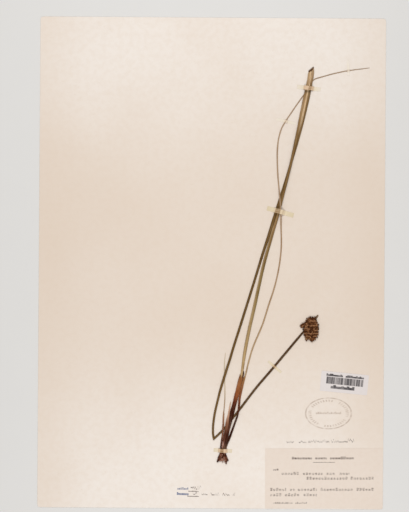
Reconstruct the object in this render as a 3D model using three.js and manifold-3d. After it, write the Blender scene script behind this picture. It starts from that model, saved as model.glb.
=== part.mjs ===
// A pressed soft rush, strapped and labelled on its herbarium sheet, in millimetres.
// The origin is the middle of the sheet's underside. +X is to the right, +Y to the sheet's head, +Z up.
import * as THREE from 'three';
import { mergeVertices } from 'three/addons/utils/BufferGeometryUtils.js';
import Module from 'manifold-3d';

const wasm = await Module();
wasm.setup();

// The mounting sheet and the two labels gummed to it
const SHEET_WIDTH = 294;
const SHEET_HEIGHT = 417.5;
const SHEET_THICKNESS = 0.5;
const LABEL_THICKNESS = 0.12;
const COLLECTION_LABEL = { width: 100, height: 51.2, x: 96.65, y: -182.6, turn: 0.45 };
const CATALOGUE_LABEL = { width: 40.5, height: 17.2, x: 113.5, y: -101.3, turn: -5.4 };

// Air left between pieces that lie on each other, and round a piece that sits in a socket
const AIR = 0.04;
const SOCKET_GAP = 0.3;

// The pressed stems: how thick they are, and how far apart their facets stand
const CULM_THICKNESS = 0.85;
const SLENDER_THICKNESS = 0.55;
const SHOOT_THICKNESS = 0.42;
const STEM_SIDES = 8;
const STEP_LENGTH = 6.5;
const SHORT_STEP = 2.2;

// How high a piece has to lie to pass over another one
const OVER_CULM = CULM_THICKNESS + 2 * AIR;
const OVER_SLENDER = SLENDER_THICKNESS + 2 * AIR;
const OVER_SHOOT = SHOOT_THICKNESS + 2 * AIR;
const OVER_BOTH_LEGS = OVER_CULM + CULM_THICKNESS + 2 * AIR;

// The culm, sheath and strand routes. Each row is x, y, height above the sheet, and width.
// The flowering culm rises from its sheath, is folded at the top, comes down beside itself,
// passes under itself, is folded again at the foot and runs up to the flower head.
const RISING_LEG = [
  [24.9, -101, 0, 1.7],
  [26.4, -92.5, 0, 2.1],
  [28.5, -77, 0, 2.5],
  [32.2, -56.8, 0, 2.6],
  [36.7, -36.4, 0, 2.6],
  [41.3, -15.9, 0, 2.6],
  [45.9, 4.5, 0, 2.6],
  [50.5, 22, 0, 2.7],
  [52.8, 30.2, 0, 2.6],
  [54.8, 37, 0.6, 2.5],
  [56.8, 44.5, OVER_CULM, 2.4],
  [60, 57.5, OVER_CULM, 2.3],
  [66.6, 84.5, OVER_CULM, 2.3],
  [72.2, 111.5, OVER_CULM, 2.4],
  [74.2, 121.5, 0.45, 2.6],
  [75.9, 130, 0, 2.7],
  [77.4, 137, 0.35, 2.9],
  [78.3, 141.5, OVER_SLENDER, 2.9],
  [80, 150, OVER_SLENDER, 2.8],
  [80.7, 153.5, 0.4, 2.8],
  [81.4, 157, 0, 2.75],
  [82.1, 161.3, 0, 2.7],
  [82.6, 163.6, 0, 2.1],
];
const TOP_FOLD = [
  [81.6, 162.6, 0, 1.1],
  [83.4, 164.5, 0, 1.5],
  [85.4, 166.9, 0, 0.9],
];
const FALLING_LEG = [
  [85, 166, 0, 1.5],
  [84.85, 163, 0, 2.3],
  [84.5, 160, 0.25, 2.5],
  [84, 156.8, OVER_SLENDER, 2.6],
  [82.75, 149.5, OVER_SLENDER, 2.7],
  [81.85, 146, 0.35, 2.7],
  [80.7, 139.5, 0, 2.7],
  [78.45, 129, 0, 2.5],
  [76, 118, 0, 2.2],
  [72.5, 105, 0, 2.2],
  [68.6, 91.3, 0, 2.2],
  [60.6, 64.1, 0, 2.2],
  [52.15, 36.5, 0, 2.4],
  [47.8, 22, 0, 2.4],
  [44, 9.5, 0, 2.3],
  [34.6, -21.1, 0, 2.1],
  [25.2, -51.7, 0, 2.1],
  [18.6, -73, 0, 2.1],
  [16, -82, 0.25, 2.1],
  [13.3, -90.5, OVER_SHOOT, 2.1],
  [10.6, -99.5, OVER_SHOOT, 2.1],
  [8.2, -107.5, 0.25, 2],
  [5.9, -117, 0, 1.9],
  [3.4, -128.4, 0, 1.9],
  [2.2, -138, 0, 1.9],
  [2.1, -144.5, 0, 1.9],
  [2.9, -149.9, 0, 1.5],
];
const FLOWER_STEM = [
  [2.6, -149.7, 0, 1.4],
  [9.6, -142.9, 0, 1.7],
  [22.5, -127.1, 0, 1.9],
  [38.4, -106.1, 0, 1.9],
  [51.2, -90.9, 0, 1.9],
  [62.6, -77.1, 0, 1.9],
  [73.9, -63.4, 0, 1.8],
  [78.2, -58.3, 0, 1.6],
];
const SLENDER_CULM = [
  [29.3, -95, 0, 1.1],
  [31.5, -85.5, 0, 1.1],
  [35.3, -72.1, 0, 1.1],
  [43.6, -51.7, 0, 1.1],
  [48.4, -36.4, 0, 1.1],
  [53.3, -21.1, 0, 1.1],
  [56.8, -5.7, 0, 1.1],
  [59, 9.5, 0, 1.1],
  [59.4, 20, 0, 1.1],
  [59.1, 29, 0.1, 1.1],
  [58.8, 35.5, 1.1, 1.1],
  [58.5, 42, OVER_BOTH_LEGS, 1.1],
  [57.7, 52, OVER_BOTH_LEGS, 1.1],
  [57.1, 59.5, 1.1, 1.1],
  [56.6, 66.5, 0.1, 1.1],
  [56, 74, 0, 1],
  [55.2, 91, 0, 1],
  [55.5, 99.7, 0, 1],
  [56.6, 107, 0, 1],
  [58.8, 114.8, 0, 1],
  [62.6, 121.7, 0, 1],
  [67.2, 128.7, 0, 1],
  [75.5, 140.8, 0, 0.95],
  [79.2, 145.9, 0, 0.9],
  [82.3, 151.2, 0, 0.9],
  [84.5, 154.9, 0, 0.9],
  [86.4, 156.7, 0, 0.9],
  [89, 157.7, 0, 0.9],
  [92.4, 158.7, 0, 0.85],
  [99.2, 160.7, 0, 0.8],
  [106, 162.4, 0, 0.75],
  [112.7, 163.8, 0, 0.7],
  [119.5, 164.9, 0, 0.65],
  [126.3, 165.8, 0, 0.55],
  [133.1, 166.7, 0, 0.35],
];
const YOUNG_SHOOT = [
  [11.35, -125.3, 0, 0.9],
  [11.9, -117, 0, 0.9],
  [12, -107, 0, 0.85],
  [11.7, -99, 0, 0.8],
  [11.4, -91, 0, 0.75],
  [11.5, -84, 0, 0.65],
  [12.3, -76.3, 0, 0.3],
];
const CULM_SHEATH = [
  [11.35, -158.2, 0, 1.2],
  [12.4, -153.5, 0, 1.35],
  [14.2, -147.5, 0, 2],
  [15.4, -142.5, 0.15, 2],
  [16.5, -137, OVER_CULM, 1.9],
  [17.7, -131.5, OVER_CULM, 2.5],
  [18.1, -129.3, OVER_CULM, 2.8],
  [18.8, -125.3, 0.3, 3.2],
  [19.8, -121, 0, 3.5],
  [21.8, -112.9, 0, 3.8],
  [23.1, -107.8, 0, 3.8],
  [24.2, -102.7, 0, 3.7],
  [25.6, -97.5, 0, 3.6],
  [26.3, -94.8, 0, 3.3],
];
const SHEATH_BRISTLE = [
  [27.5, -96, 0.3, 0.9],
  [27.9, -93.7, 0.3, 0.8],
  [27.8, -91.9, 0.3, 0.3],
];
const SLENDER_SHEATH = [
  [12.75, -158.2, 0, 1.2],
  [13.95, -154, 0, 1.45],
  [16, -149, 0, 1.7],
  [18.5, -142, 0, 1.6],
  [20.9, -135.2, 0, 1.6],
  [22.6, -130, 0.75, 1.6],
  [23.5, -125.5, OVER_CULM, 1.6],
  [24.1, -120.5, 0.75, 1.7],
  [24.6, -114.5, 0, 1.8],
  [26.05, -107.8, 0, 1.75],
  [28.2, -98.5, 0, 1.8],
  [29.1, -95.35, 0, 1.5],
];
const SHOOT_SHEATH = [
  [8.7, -158.2, 0, 1.2],
  [9.1, -154, 0, 1.4],
  [9.9, -148.5, 0.15, 1.5],
  [10.3, -144.5, OVER_CULM, 1.5],
  [10.6, -140, OVER_CULM, 1.5],
  [10.8, -135.5, 0.2, 1.5],
  [10.9, -131, 0, 1.4],
  [11.3, -125.65, 0, 1.1],
];
const OUTER_SHEATH = [
  [10, -158.2, 0, 1.2],
  [10.85, -153.5, 0, 1.5],
  [12, -147.5, 0.1, 2.1],
  [12.9, -143, 0.8, 2.4],
  [13.5, -140.3, OVER_CULM, 2.6],
  [14.05, -137, OVER_CULM, 2.8],
  [14.4, -134.6, OVER_CULM, 2.6],
  [14.75, -132.2, 0.5, 2.2],
  [15.2, -130, 0, 1.9],
  [15.7, -126.5, 0, 1.5],
  [16.2, -122.5, 0, 1.2],
  [16.8, -119, 0, 0.8],
  [17.1, -117, 0, 0.3],
];
const BRACT = [
  [78.5, -57.9, 0, 1.5],
  [84.4, -51.7, 0, 1.5],
  [88, -47.4, 0, 1.6],
  [89.8, -45.1, 0, 1.6],
  [90.7, -43.8, 0, 1.1],
];

// The rootstock: a short rhizome under the base strap, and the stubs of its cut roots
const ROOT_TIP_SHARE = 0.7;
const ROOT_PARTS = [
  { thickness: 1.9, route: [[10.6, -158.5, 0, 4.7], [10.4, -161.2, 0, 5], [10.2, -166.5, 0, 7]] },
  { thickness: 1.7, route: [[9.1, -161.5, 0, 2.2], [7.9, -164.8, 0, 2.3], [6, -169.6, 0, 1.4]] },
  { thickness: 1.6, route: [[9.2, -163.5, 0.2, 2.2], [8.6, -166.9, 0.1, 2.2], [8, -169.2, 0, 1.3]] },
  { thickness: 2.2, route: [[10.2, -163, 0.2, 2.4], [10.3, -166.6, 0.2, 2.6], [10.1, -168.8, 0, 1.9]] },
  { thickness: 1.8, route: [[11.9, -161.5, 0, 2.2], [13.4, -165, 0, 2.2], [15.2, -168.3, 0, 1.5]] },
  { thickness: 2.1, route: [[11.6, -163.5, 0.2, 2], [13, -167.4, 0.1, 2.3], [13.6, -171, 0, 1.5]] },
];

// The flower head: clusters of flowers, as x, y, height of the middle, radius and flower count
const FLOWER_CLUSTERS = [
  [81.7, -49.2, 1.5, 2.2, 7],
  [85.2, -48.2, 1.9, 2.3, 7],
  [88.2, -49.6, 1.6, 2.2, 7],
  [78.2, -53.8, 1.4, 2.1, 7],
  [82.6, -54.2, 2.2, 2.5, 8],
  [88.3, -55, 2.2, 2.5, 8],
  [82.2, -60, 2, 2.4, 7],
  [87.7, -60.6, 1.8, 2.4, 7],
  [84.8, -63.7, 1.5, 2.3, 7],
];
const FLOWER_LENGTH = 2.7;
const FLOWER_RADIUS = 0.78;
const FLOWER_SIDES = 5;
const FLOWER_FOOT_SHARE = 0.35;
const FLOWER_TILTS = { crown: 72, lower: 4, upper: 44 };
const HEAD_CORE_SHARE = 0.95;
const HEAD_FLATNESS = 0.72;
// The short branches in the middle of the head, drawn as one flattened core that joins the clusters
const BRANCH_CORE = { x: 84.9, y: -56.2, height: 2.5, halfWidth: 5, halfLength: 8, halfHeight: 1.2 };
const HEAD_FLOOR = { x: 84, y: -56, size: 40, depth: 10 };

// The main sheath's own thickness and that of its bristle, and what share of it is left at the tip
const MAIN_SHEATH = { route: CULM_SHEATH, thickness: 1.1, tipShare: 1.4, step: SHORT_STEP };
const BRISTLE = { route: SHEATH_BRISTLE, thickness: 1, tipShare: 0.4, sides: 6, step: 1 };

// Pieces that are one pressed stem each
const SINGLE_STEMS = {
  slender_culm: { route: SLENDER_CULM, thickness: SLENDER_THICKNESS, tipShare: 0.6, sides: 6, step: 5 },
  young_shoot: { route: YOUNG_SHOOT, thickness: SHOOT_THICKNESS, tipShare: 0.6, sides: 6 },
  slender_sheath: { route: SLENDER_SHEATH, thickness: 1.1, tipShare: 0.7, step: SHORT_STEP },
  shoot_sheath: { route: SHOOT_SHEATH, thickness: 1.1, tipShare: 0.5, step: SHORT_STEP },
  outer_sheath: { route: OUTER_SHEATH, thickness: 0.95, tipShare: 0.4, step: SHORT_STEP },
  bract: { route: BRACT, thickness: CULM_THICKNESS, tipShare: 0.7, step: SHORT_STEP },
};

// The gummed straps: where each starts and ends, how wide it is, and its underside,
// as distance along the strap and height above the sheet
const STRAP_THICKNESS = 0.14;
const STRAPS = {
  strap_top: {
    from: [71.6, 150.3], to: [91.6, 148], width: 3.5,
    underside: [[0, 0], [5, 0], [6.2, 0.95], [6.9, 1.62], [12.6, 1.62], [13.3, 1], [14.8, 0], [20.1, 0]],
  },
  strap_middle: {
    from: [46.8, 47.5], to: [69.3, 41.4], width: 4,
    underside: [[0, 0], [4.9, 0], [6.6, 0.8], [7.2, 1], [8.6, 1.05], [9.1, 1.9], [10.4, 2],
      [10.8, 2.5], [13.3, 2.5], [13.9, 1.6], [16, 0], [23.3, 0]],
  },
  strap_flower_stem: {
    from: [48.7, -83.3], to: [59.6, -92.7], width: 2,
    underside: [[0, 0], [4.4, 0], [5.3, 0.65], [5.9, 0.95], [7.7, 0.95], [8.3, 0.65], [9.2, 0], [14.4, 0]],
  },
  strap_slender: {
    from: [54.2, 122.6], to: [71.1, 118.8], width: 2.4,
    underside: [[0, 0], [6.3, 0], [7.6, 0.62], [9.2, 0.62], [10.5, 0], [17.3, 0]],
  },
  strap_tip: {
    from: [114.6, 173.1], to: [115.3, 160.1], width: 2,
    underside: [[0, 0], [7.3, 0], [8.2, 0.58], [9.7, 0.58], [10.6, 0], [13, 0]],
  },
  strap_base: {
    from: [2.7, -159], to: [18.4, -160.4], width: 3.2,
    underside: [[0, 0], [3.6, 0], [4.8, 1.4], [5.6, 1.98], [9.8, 1.98], [10.8, 1.4], [12, 0], [15.76, 0]],
  },
};

// The colour and the roughness of each piece
const LOOKS = {
  mounting_sheet: ['#e9dccf', 0.9],
  collection_label: ['#e2d5c4', 0.9],
  catalogue_label: ['#ebe4e6', 0.8],
  rootstock: ['#56311f', 0.85],
  flowering_culm: ['#7d6040', 0.6],
  slender_culm: ['#b99a76', 0.65],
  young_shoot: ['#c8beaa', 0.7],
  culm_sheath: ['#8a4f2c', 0.55],
  slender_sheath: ['#55231a', 0.5],
  shoot_sheath: ['#7a4433', 0.55],
  outer_sheath: ['#a5745c', 0.55],
  bract: ['#5c452c', 0.65],
  flower_head: ['#5a2f14', 0.6],
  strap_top: ['#e4d2b6', 0.75],
  strap_middle: ['#dfceaa', 0.75],
  strap_flower_stem: ['#e2d0ae', 0.75],
  strap_slender: ['#e6d9c4', 0.75],
  strap_tip: ['#e6dac6', 0.75],
  strap_base: ['#e4cba6', 0.75],
};

const UP = new THREE.Vector3(0, 0, 1);

// A flattened many-sided section, one unit half-wide and one unit tall, with flat top and foot
function pressedSection(sides) {
  const half = Math.PI / sides;
  const corners = Array.from({ length: sides }, (_, corner) => Math.PI / 2 + half + corner * 2 * half);
  const widest = Math.max(...corners.map(Math.cos));
  const points = corners.map((angle) => (
    new THREE.Vector2(Math.cos(angle) / widest, 0.5 + 0.5 * Math.sin(angle) / Math.cos(half))));
  return new THREE.Shape(points);
}

// A pressed stem laid along a route of rows, with its underside at the height that each row gives.
// tipShare is the share of its thickness that is left at the far end, and step is the facets' spacing.
// grow makes the stem fatter all round, to cut a socket that it fits with air to spare.
function pressedStem({ route, thickness, sides = STEM_SIDES, step = STEP_LENGTH, tipShare = 1, grow = 0 }) {
  const path = new THREE.CatmullRomCurve3(
    route.map(([x, y, height]) => new THREE.Vector3(x, y, height)), false, 'centripetal');
  const sizes = new THREE.CatmullRomCurve3(
    route.map((row) => new THREE.Vector3(row[3], 0, 0)), false, 'centripetal');
  const steps = Math.max(2, Math.round(path.getLength() / step));
  const geometry = new THREE.ExtrudeGeometry(pressedSection(sides), { depth: 1, steps, bevelEnabled: false });
  const corner = new THREE.Vector3();
  const positions = geometry.getAttribute('position');
  for (let i = 0; i < positions.count; i += 1) {
    corner.fromBufferAttribute(positions, i);
    const along = path.getUtoTmapping(Math.min(Math.max(corner.z, 0), 1));
    const centre = path.getPoint(along);
    const tangent = path.getTangent(along).setZ(0).normalize();
    const side = new THREE.Vector3().crossVectors(UP, tangent);
    const width = sizes.getPoint(along).x + 2 * grow;
    const tall = thickness * THREE.MathUtils.lerp(1, tipShare, corner.z) + 2 * grow;
    const floor = SHEET_THICKNESS + Math.max(centre.z, AIR) - grow;
    centre.z = floor + corner.y * tall;
    centre.addScaledVector(side, corner.x * width / 2);
    positions.setXYZ(i, centre.x, centre.y, centre.z);
  }
  return geometry;
}

// A closed three.js mesh as a solid that can be joined or cut
function solidOf(geometry) {
  const bare = geometry.clone();
  bare.deleteAttribute('normal');
  bare.deleteAttribute('uv');
  const merged = mergeVertices(bare, 1e-4);
  return new wasm.Manifold(new wasm.Mesh({
    numProp: 3,
    vertProperties: new Float32Array(merged.getAttribute('position').array),
    triVerts: new Uint32Array(merged.getIndex().array),
  }));
}

function geometryOf(solid) {
  const mesh = solid.getMesh();
  const geometry = new THREE.BufferGeometry();
  geometry.setAttribute('position', new THREE.BufferAttribute(new Float32Array(mesh.vertProperties), 3));
  geometry.setIndex(new THREE.BufferAttribute(new Uint32Array(mesh.triVerts), 1));
  geometry.computeVertexNormals();
  return geometry;
}

function joined(solids) {
  return solids.reduce((whole, next) => whole.add(next));
}

function stemSolid(stem) {
  return solidOf(pressedStem(stem));
}

function floweringCulm() {
  const legs = [
    { route: RISING_LEG },
    { route: TOP_FOLD, step: SHORT_STEP },
    { route: FALLING_LEG },
    { route: FLOWER_STEM },
  ];
  return geometryOf(joined(legs.map((leg) => stemSolid({ ...leg, thickness: CULM_THICKNESS }))));
}

// The main sheath is hollowed at its mouth, where the culm comes out, and ends in a stiff bristle
function culmSheath() {
  const socket = { route: RISING_LEG.slice(0, 3), thickness: CULM_THICKNESS, grow: SOCKET_GAP };
  return geometryOf(stemSolid(MAIN_SHEATH).add(stemSolid(BRISTLE)).subtract(stemSolid(socket)));
}

function rootstock() {
  const parts = ROOT_PARTS.map((part) => stemSolid({ ...part, step: SHORT_STEP, tipShare: ROOT_TIP_SHARE }));
  return geometryOf(joined(parts));
}

// One closed flower: a pointed bud, its foot at the origin and its tip along +Y
function flowerBud() {
  const profile = [[0, 0], [1, 0.36], [0.7, 0.76], [0, 1]].map(([across, along]) => (
    new THREE.Vector2(across * FLOWER_RADIUS, along * FLOWER_LENGTH)));
  return new THREE.LatheGeometry(profile, FLOWER_SIDES);
}

// Flowers stand out all round each cluster's core: one nearly upright, the others level or half raised
function flowerCluster([x, y, height, radius, count]) {
  const middle = new THREE.Vector3(x, y, height);
  const core = new THREE.IcosahedronGeometry(radius * HEAD_CORE_SHARE, 0);
  core.translate(middle.x, middle.y, middle.z);
  const solids = [solidOf(core)];
  for (let i = 0; i < count; i += 1) {
    const turn = (i + x) * Math.PI * (3 - Math.sqrt(5));
    const side = i % 2 === 0 ? FLOWER_TILTS.lower : FLOWER_TILTS.upper;
    const tilt = THREE.MathUtils.degToRad(i === 0 ? FLOWER_TILTS.crown : side);
    const out = new THREE.Vector3(Math.cos(turn), Math.sin(turn), Math.tan(tilt)).normalize();
    const foot = middle.clone().addScaledVector(out, radius * FLOWER_FOOT_SHARE);
    const lean = new THREE.Quaternion().setFromUnitVectors(new THREE.Vector3(0, 1, 0), out);
    const bud = flowerBud().applyMatrix4(new THREE.Matrix4().compose(foot, lean, new THREE.Vector3(1, 1, 1)));
    solids.push(solidOf(bud));
  }
  return joined(solids);
}

function branchCore({ x, y, height, halfWidth, halfLength, halfHeight }) {
  const geometry = new THREE.IcosahedronGeometry(1, 1);
  geometry.scale(halfWidth, halfLength, halfHeight);
  return solidOf(geometry.translate(x, y, height));
}

// The whole head is pressed flat. It lies on its stem and bract, so their beds are cut out of it.
function flowerHead() {
  const clusters = joined([branchCore(BRANCH_CORE), ...FLOWER_CLUSTERS.map(flowerCluster)]);
  const head = clusters.scale([1, 1, HEAD_FLATNESS]).translate([0, 0, SHEET_THICKNESS]);
  const beds = [FLOWER_STEM.slice(-3), BRACT].map((route) => (
    stemSolid({ route, thickness: CULM_THICKNESS, grow: SOCKET_GAP })));
  const floor = new THREE.BoxGeometry(HEAD_FLOOR.size, HEAD_FLOOR.size, HEAD_FLOOR.depth);
  floor.translate(HEAD_FLOOR.x, HEAD_FLOOR.y, SHEET_THICKNESS + AIR - HEAD_FLOOR.depth / 2);
  return geometryOf(head.subtract(joined(beds)).subtract(solidOf(floor)));
}

// A strap of gummed paper: its outline seen from the end, pushed out across the strap's width
function strap({ from, to, width, underside }) {
  const along = new THREE.Vector3(to[0] - from[0], to[1] - from[1], 0).normalize();
  const across = new THREE.Vector3().crossVectors(along, UP);
  const foot = SHEET_THICKNESS + AIR;
  const below = underside.map(([distance, height]) => new THREE.Vector2(distance, Math.max(height - AIR, 0)));
  const above = below.map(({ x, y }) => new THREE.Vector2(x, y + STRAP_THICKNESS)).reverse();
  const outline = new THREE.Shape([...below, ...above]);
  const geometry = new THREE.ExtrudeGeometry(outline, { depth: width, bevelEnabled: false });
  const start = new THREE.Vector3(from[0], from[1], foot).addScaledVector(across, -width / 2);
  return geometry.applyMatrix4(new THREE.Matrix4().makeBasis(along, UP, across).setPosition(start));
}

function label({ width, height, x, y, turn }) {
  const geometry = new THREE.BoxGeometry(width, height, LABEL_THICKNESS);
  geometry.rotateZ(THREE.MathUtils.degToRad(turn));
  return geometry.translate(x, y, SHEET_THICKNESS + AIR + LABEL_THICKNESS / 2);
}

function sheet() {
  const geometry = new THREE.BoxGeometry(SHEET_WIDTH, SHEET_HEIGHT, SHEET_THICKNESS);
  return geometry.translate(0, 0, SHEET_THICKNESS / 2);
}

const pieces = {
  mounting_sheet: sheet(),
  collection_label: label(COLLECTION_LABEL),
  catalogue_label: label(CATALOGUE_LABEL),
  rootstock: rootstock(),
  flowering_culm: floweringCulm(),
  culm_sheath: culmSheath(),
  flower_head: flowerHead(),
};
for (const [name, stem] of Object.entries(SINGLE_STEMS)) {
  pieces[name] = geometryOf(stemSolid(stem));
}
for (const [name, shape] of Object.entries(STRAPS)) {
  pieces[name] = strap(shape);
}

const specimen = new THREE.Group();
for (const [name, geometry] of Object.entries(pieces)) {
  const [color, roughness] = LOOKS[name];
  const mesh = new THREE.Mesh(geometry, new THREE.MeshStandardMaterial({ color, roughness, metalness: 0 }));
  mesh.name = name;
  specimen.add(mesh);
}

export default specimen;
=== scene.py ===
# A pressed soft rush, strapped and labelled on its herbarium sheet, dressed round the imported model.
# Lengths in the tables are millimetres, times MM to be metres. +X is right, +Y the sheet's head, +Z up.
import math

import bpy
import numpy as np
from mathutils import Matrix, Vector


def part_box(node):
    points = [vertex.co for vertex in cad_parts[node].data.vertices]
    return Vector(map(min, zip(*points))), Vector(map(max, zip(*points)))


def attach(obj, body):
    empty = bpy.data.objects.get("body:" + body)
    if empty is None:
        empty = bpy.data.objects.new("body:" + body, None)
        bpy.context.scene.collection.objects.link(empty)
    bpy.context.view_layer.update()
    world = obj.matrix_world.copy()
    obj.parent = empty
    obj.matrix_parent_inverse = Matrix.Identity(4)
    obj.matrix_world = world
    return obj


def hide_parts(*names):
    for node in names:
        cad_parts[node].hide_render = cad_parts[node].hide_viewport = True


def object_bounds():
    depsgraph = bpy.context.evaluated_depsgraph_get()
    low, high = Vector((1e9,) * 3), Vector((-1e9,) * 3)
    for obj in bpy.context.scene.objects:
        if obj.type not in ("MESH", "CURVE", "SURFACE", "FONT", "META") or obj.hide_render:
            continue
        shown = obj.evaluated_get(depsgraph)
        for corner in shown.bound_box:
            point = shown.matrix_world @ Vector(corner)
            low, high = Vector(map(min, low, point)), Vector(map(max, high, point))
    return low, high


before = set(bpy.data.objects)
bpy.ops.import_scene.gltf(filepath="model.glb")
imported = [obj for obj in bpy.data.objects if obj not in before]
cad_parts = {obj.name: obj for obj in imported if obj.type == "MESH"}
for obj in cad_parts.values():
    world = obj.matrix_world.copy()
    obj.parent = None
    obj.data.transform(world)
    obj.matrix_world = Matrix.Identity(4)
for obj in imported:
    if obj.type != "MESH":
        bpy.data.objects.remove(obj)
cad_low, cad_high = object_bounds()


# The mounting sheet: one sheet of heavy cream rag paper, cut to size on a guillotine. It lies flat, and
# everything else is glued, strapped or stamped on it. Its cut edges are a little soft and uneven, the
# paper has toned with age, and it carries the ink of two stamps and a line of pencil.
MM = 0.001
SHEET_SPACING = 3 * MM
SHEET_EDGE = {"soft": 0.1 * MM, "wander": 0.12 * MM, "corner": 0.5 * MM, "cockle": 0.03 * MM}
SHEET_CREAM, SHEET_TONED = (240, 232, 224), (222, 203, 184)
FIBRE_DARK = (196, 170, 140)
FOXING = (176, 132, 84)
STAMP_INK = (166, 144, 126)
PENCIL = (114, 103, 98)
BLUE_INK = (72, 92, 134)
PAPER_ROUGHNESS, PAPER_SPECULAR, PAPER_BUMP = 0.88, 0.22, 0.35
# How far from the sheet's middle its toning starts to change and stops, and its share at each. Across the
# middle it is partly toning and partly painted shade, where the light falls off between the head and foot
# lamps.
MIDDLE_TONING_AND_SHADE = (40 * MM, 190 * MM, 0.54, 0.0)
TONED_SIDES = (95 * MM, cad_high.x, 0.0, 0.3)
# Where each group of marks has its origin, and its turn in degrees
STAMP_PLACE = (100.2 * MM, -127.3 * MM, 0.4)
NOTE_PLACE = (62.4 * MM, -152.2 * MM, 0.9)
NUMBER_PLACE = (-28 * MM, -191.9 * MM, -1.2)
STAMP_HALF_WIDTH, STAMP_HALF_HEIGHT = 20 * MM, 13.5 * MM
# Rows of writing, as middle, height, pitch, how solid, and where each word starts and ends
STAMP_ROWS = [(0.4, 2.2, 1.6, 0.5, (-11, 11))]
BLUE_ROWS = [(0, 2.2, 1.4, 0.45, (0, 9.6)), (-4.4, 2.7, 1.4, 0.75, (-0.4, 10))]
PENCIL_LINES = [(-2.1, 0.9, 1, 1.0, (9.4, 18.6)), (-6.3, 1, 1, 1.0, (8.6, 18.8))]
# Pencil scrawls, as left, right, middle, height and seed
NOTE_SCRAWLS = [(2.2, 8.5, 0, 2.2, 4.0), (12.6, 19.4, 0, 2, 11.0), (20.6, 38.8, 0.2, 2.6, 15.0),
                (40, 60, 0.2, 3, 21.0)]
NUMBER_SCRAWLS = [(11.2, 20.4, 0.2, 3.6, 8.0), (13, 17, -4.6, 3, 9.0), (20.6, 26, -4.6, 1.6, 13.0),
                  (28.4, 36, -4.4, 3, 17.0), (38.5, 44.9, -4.4, 2.4, 19.0), (47.2, 49.4, -4.4, 4, 23.0)]


def ink(red, green, blue):
    """A colour given as it looks on a screen, from 0 to 255, as Blender's linear colour."""
    share = [channel / 255 for channel in (red, green, blue)]
    return tuple(c / 12.92 if c <= 0.04045 else ((c + 0.055) / 1.055) ** 2.4 for c in share) + (1.0,)


def is_joined(value):
    return isinstance(value, bpy.types.NodeSocket)


def put(kind, sockets, tree=None, **settings):
    """Adds a shader node with these settings, and joins or sets the sockets named. Where no tree is given,
    the node goes into the tree of the values that are joined to it."""
    if tree is None:
        tree = next(filter(is_joined, sockets.values())).id_data
    node = tree.nodes.new("ShaderNode" + kind)
    for name, value in settings.items():
        setattr(node, name, value)
    for name, value in sockets.items():
        if is_joined(value):
            tree.links.new(value, node.inputs[name])
        else:
            node.inputs[name].default_value = value
    return node


def calc(operation, *values):
    """The result of a Math node."""
    return put("Math", dict(enumerate(values)), operation=operation).outputs[0]


def times(value, *others):
    """A value multiplied by each of the others."""
    for other in others:
        value = calc("MULTIPLY", value, other)
    return value


def fade(value, start, end, first=0.0, last=1.0):
    """value, which goes smoothly from first, at start, to last, at end."""
    sockets = {"Value": value, "From Min": start, "From Max": end, "To Min": first, "To Max": last}
    return put("MapRange", sockets, interpolation_type="SMOOTHSTEP").outputs[0]


def close_to(value, middle, full, gone):
    """1 where value is within full of the middle, and 0 where it is further off than gone."""
    return fade(calc("ABSOLUTE", calc("SUBTRACT", value, middle)), full, gone, 1.0, 0.0)


def coated(colour, *coats):
    """colour with coats over it, each as the share that it covers and its own colour."""
    for share, coat in coats:
        under, over = (shade if is_joined(shade) else ink(*shade) for shade in (colour, coat))
        colour = put("Mix", {0: share, 6: under, 7: over}, data_type="RGBA").outputs[2]
    return colour


def axes_of(vector):
    return put("SeparateXYZ", {0: vector}).outputs


def sized(vector, scale):
    """A vector multiplied by one value."""
    return put("VectorMath", {0: vector, "Scale": scale}, operation="SCALE").outputs[0]


def cloud(vector, waves, detail):
    """A noise pattern, about 0.5 in the middle, with about that many waves to a unit of the vector."""
    return put("TexNoise", {"Vector": vector, "Scale": waves, "Detail": detail}).outputs[0]


def chance(value):
    """A random number from 0 to 1 for each different value."""
    return put("TexWhiteNoise", {"W": value}, noise_dimensions="1D").outputs["Value"]


def shader_effect(inputs):
    """Makes the function below it a shader node group of the same name. Each input is given as its default,
    and what the function returns is what the group puts out."""
    def build(recipe):
        group = bpy.data.node_groups.new(recipe.__name__, "ShaderNodeTree")
        for name, default in inputs.items():
            kind = "NodeSocketFloat" if isinstance(default, float) else "NodeSocketVector"
            group.interface.new_socket(name, in_out="INPUT", socket_type=kind).default_value = default
        results = recipe(group.nodes.new("NodeGroupInput").outputs)
        for name in results:
            group.interface.new_socket(name, in_out="OUTPUT", socket_type="NodeSocketFloat")
        put_out = group.nodes.new("NodeGroupOutput").inputs
        for name, value in results.items():
            group.links.new(value, put_out[name])
        return group
    return build


def use(effect, sockets):
    """What an effect puts out where it is given these values."""
    return put("Group", sockets, node_tree=effect).outputs


@shader_effect({"Vector": (0.0, 0.0, 0.0), "Fibre Size": 1.0})
def paper_texture(given):
    """The tooth and fibres of paper: cloudy formation, thin curved fibres, and the relief of both."""
    place = sized(given["Vector"], given["Fibre Size"])
    thread = close_to(cloud(place, 520.0, 1.0), 0.5, 0.0, 0.012)
    broken = fade(cloud(place, 170.0, 1.0), 0.56, 0.62)
    fibres = times(thread, broken)
    tooth = cloud(place, 2600.0, 3.0)
    return {"Formation": cloud(place, 220.0, 4.0), "Fibres": fibres,
            "Relief": calc("ADD", times(fibres, 0.5), tooth)}


def row_ends(across, given):
    """1 between the left and right ends of a row of writing, and 0 beyond them."""
    soft = 0.3 * MM
    return times(fade(calc("SUBTRACT", across, given["Left"]), 0.0, soft),
                 fade(calc("SUBTRACT", given["Right"], across), 0.0, soft))


def along_row(across, given, waves, detail):
    """A noise that changes only along a row of writing, different for each seed."""
    line = put("CombineXYZ", {0: times(across, waves), 1: times(given["Seed"], 7.31)}).outputs[0]
    return cloud(line, 1.0, detail)


ROW_INPUTS = {"Vector": (0.0, 0.0, 0.0), "Left": 0.0, "Right": 0.01, "Middle": 0.0, "Height": 0.002,
              "Seed": 0.0}


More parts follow.
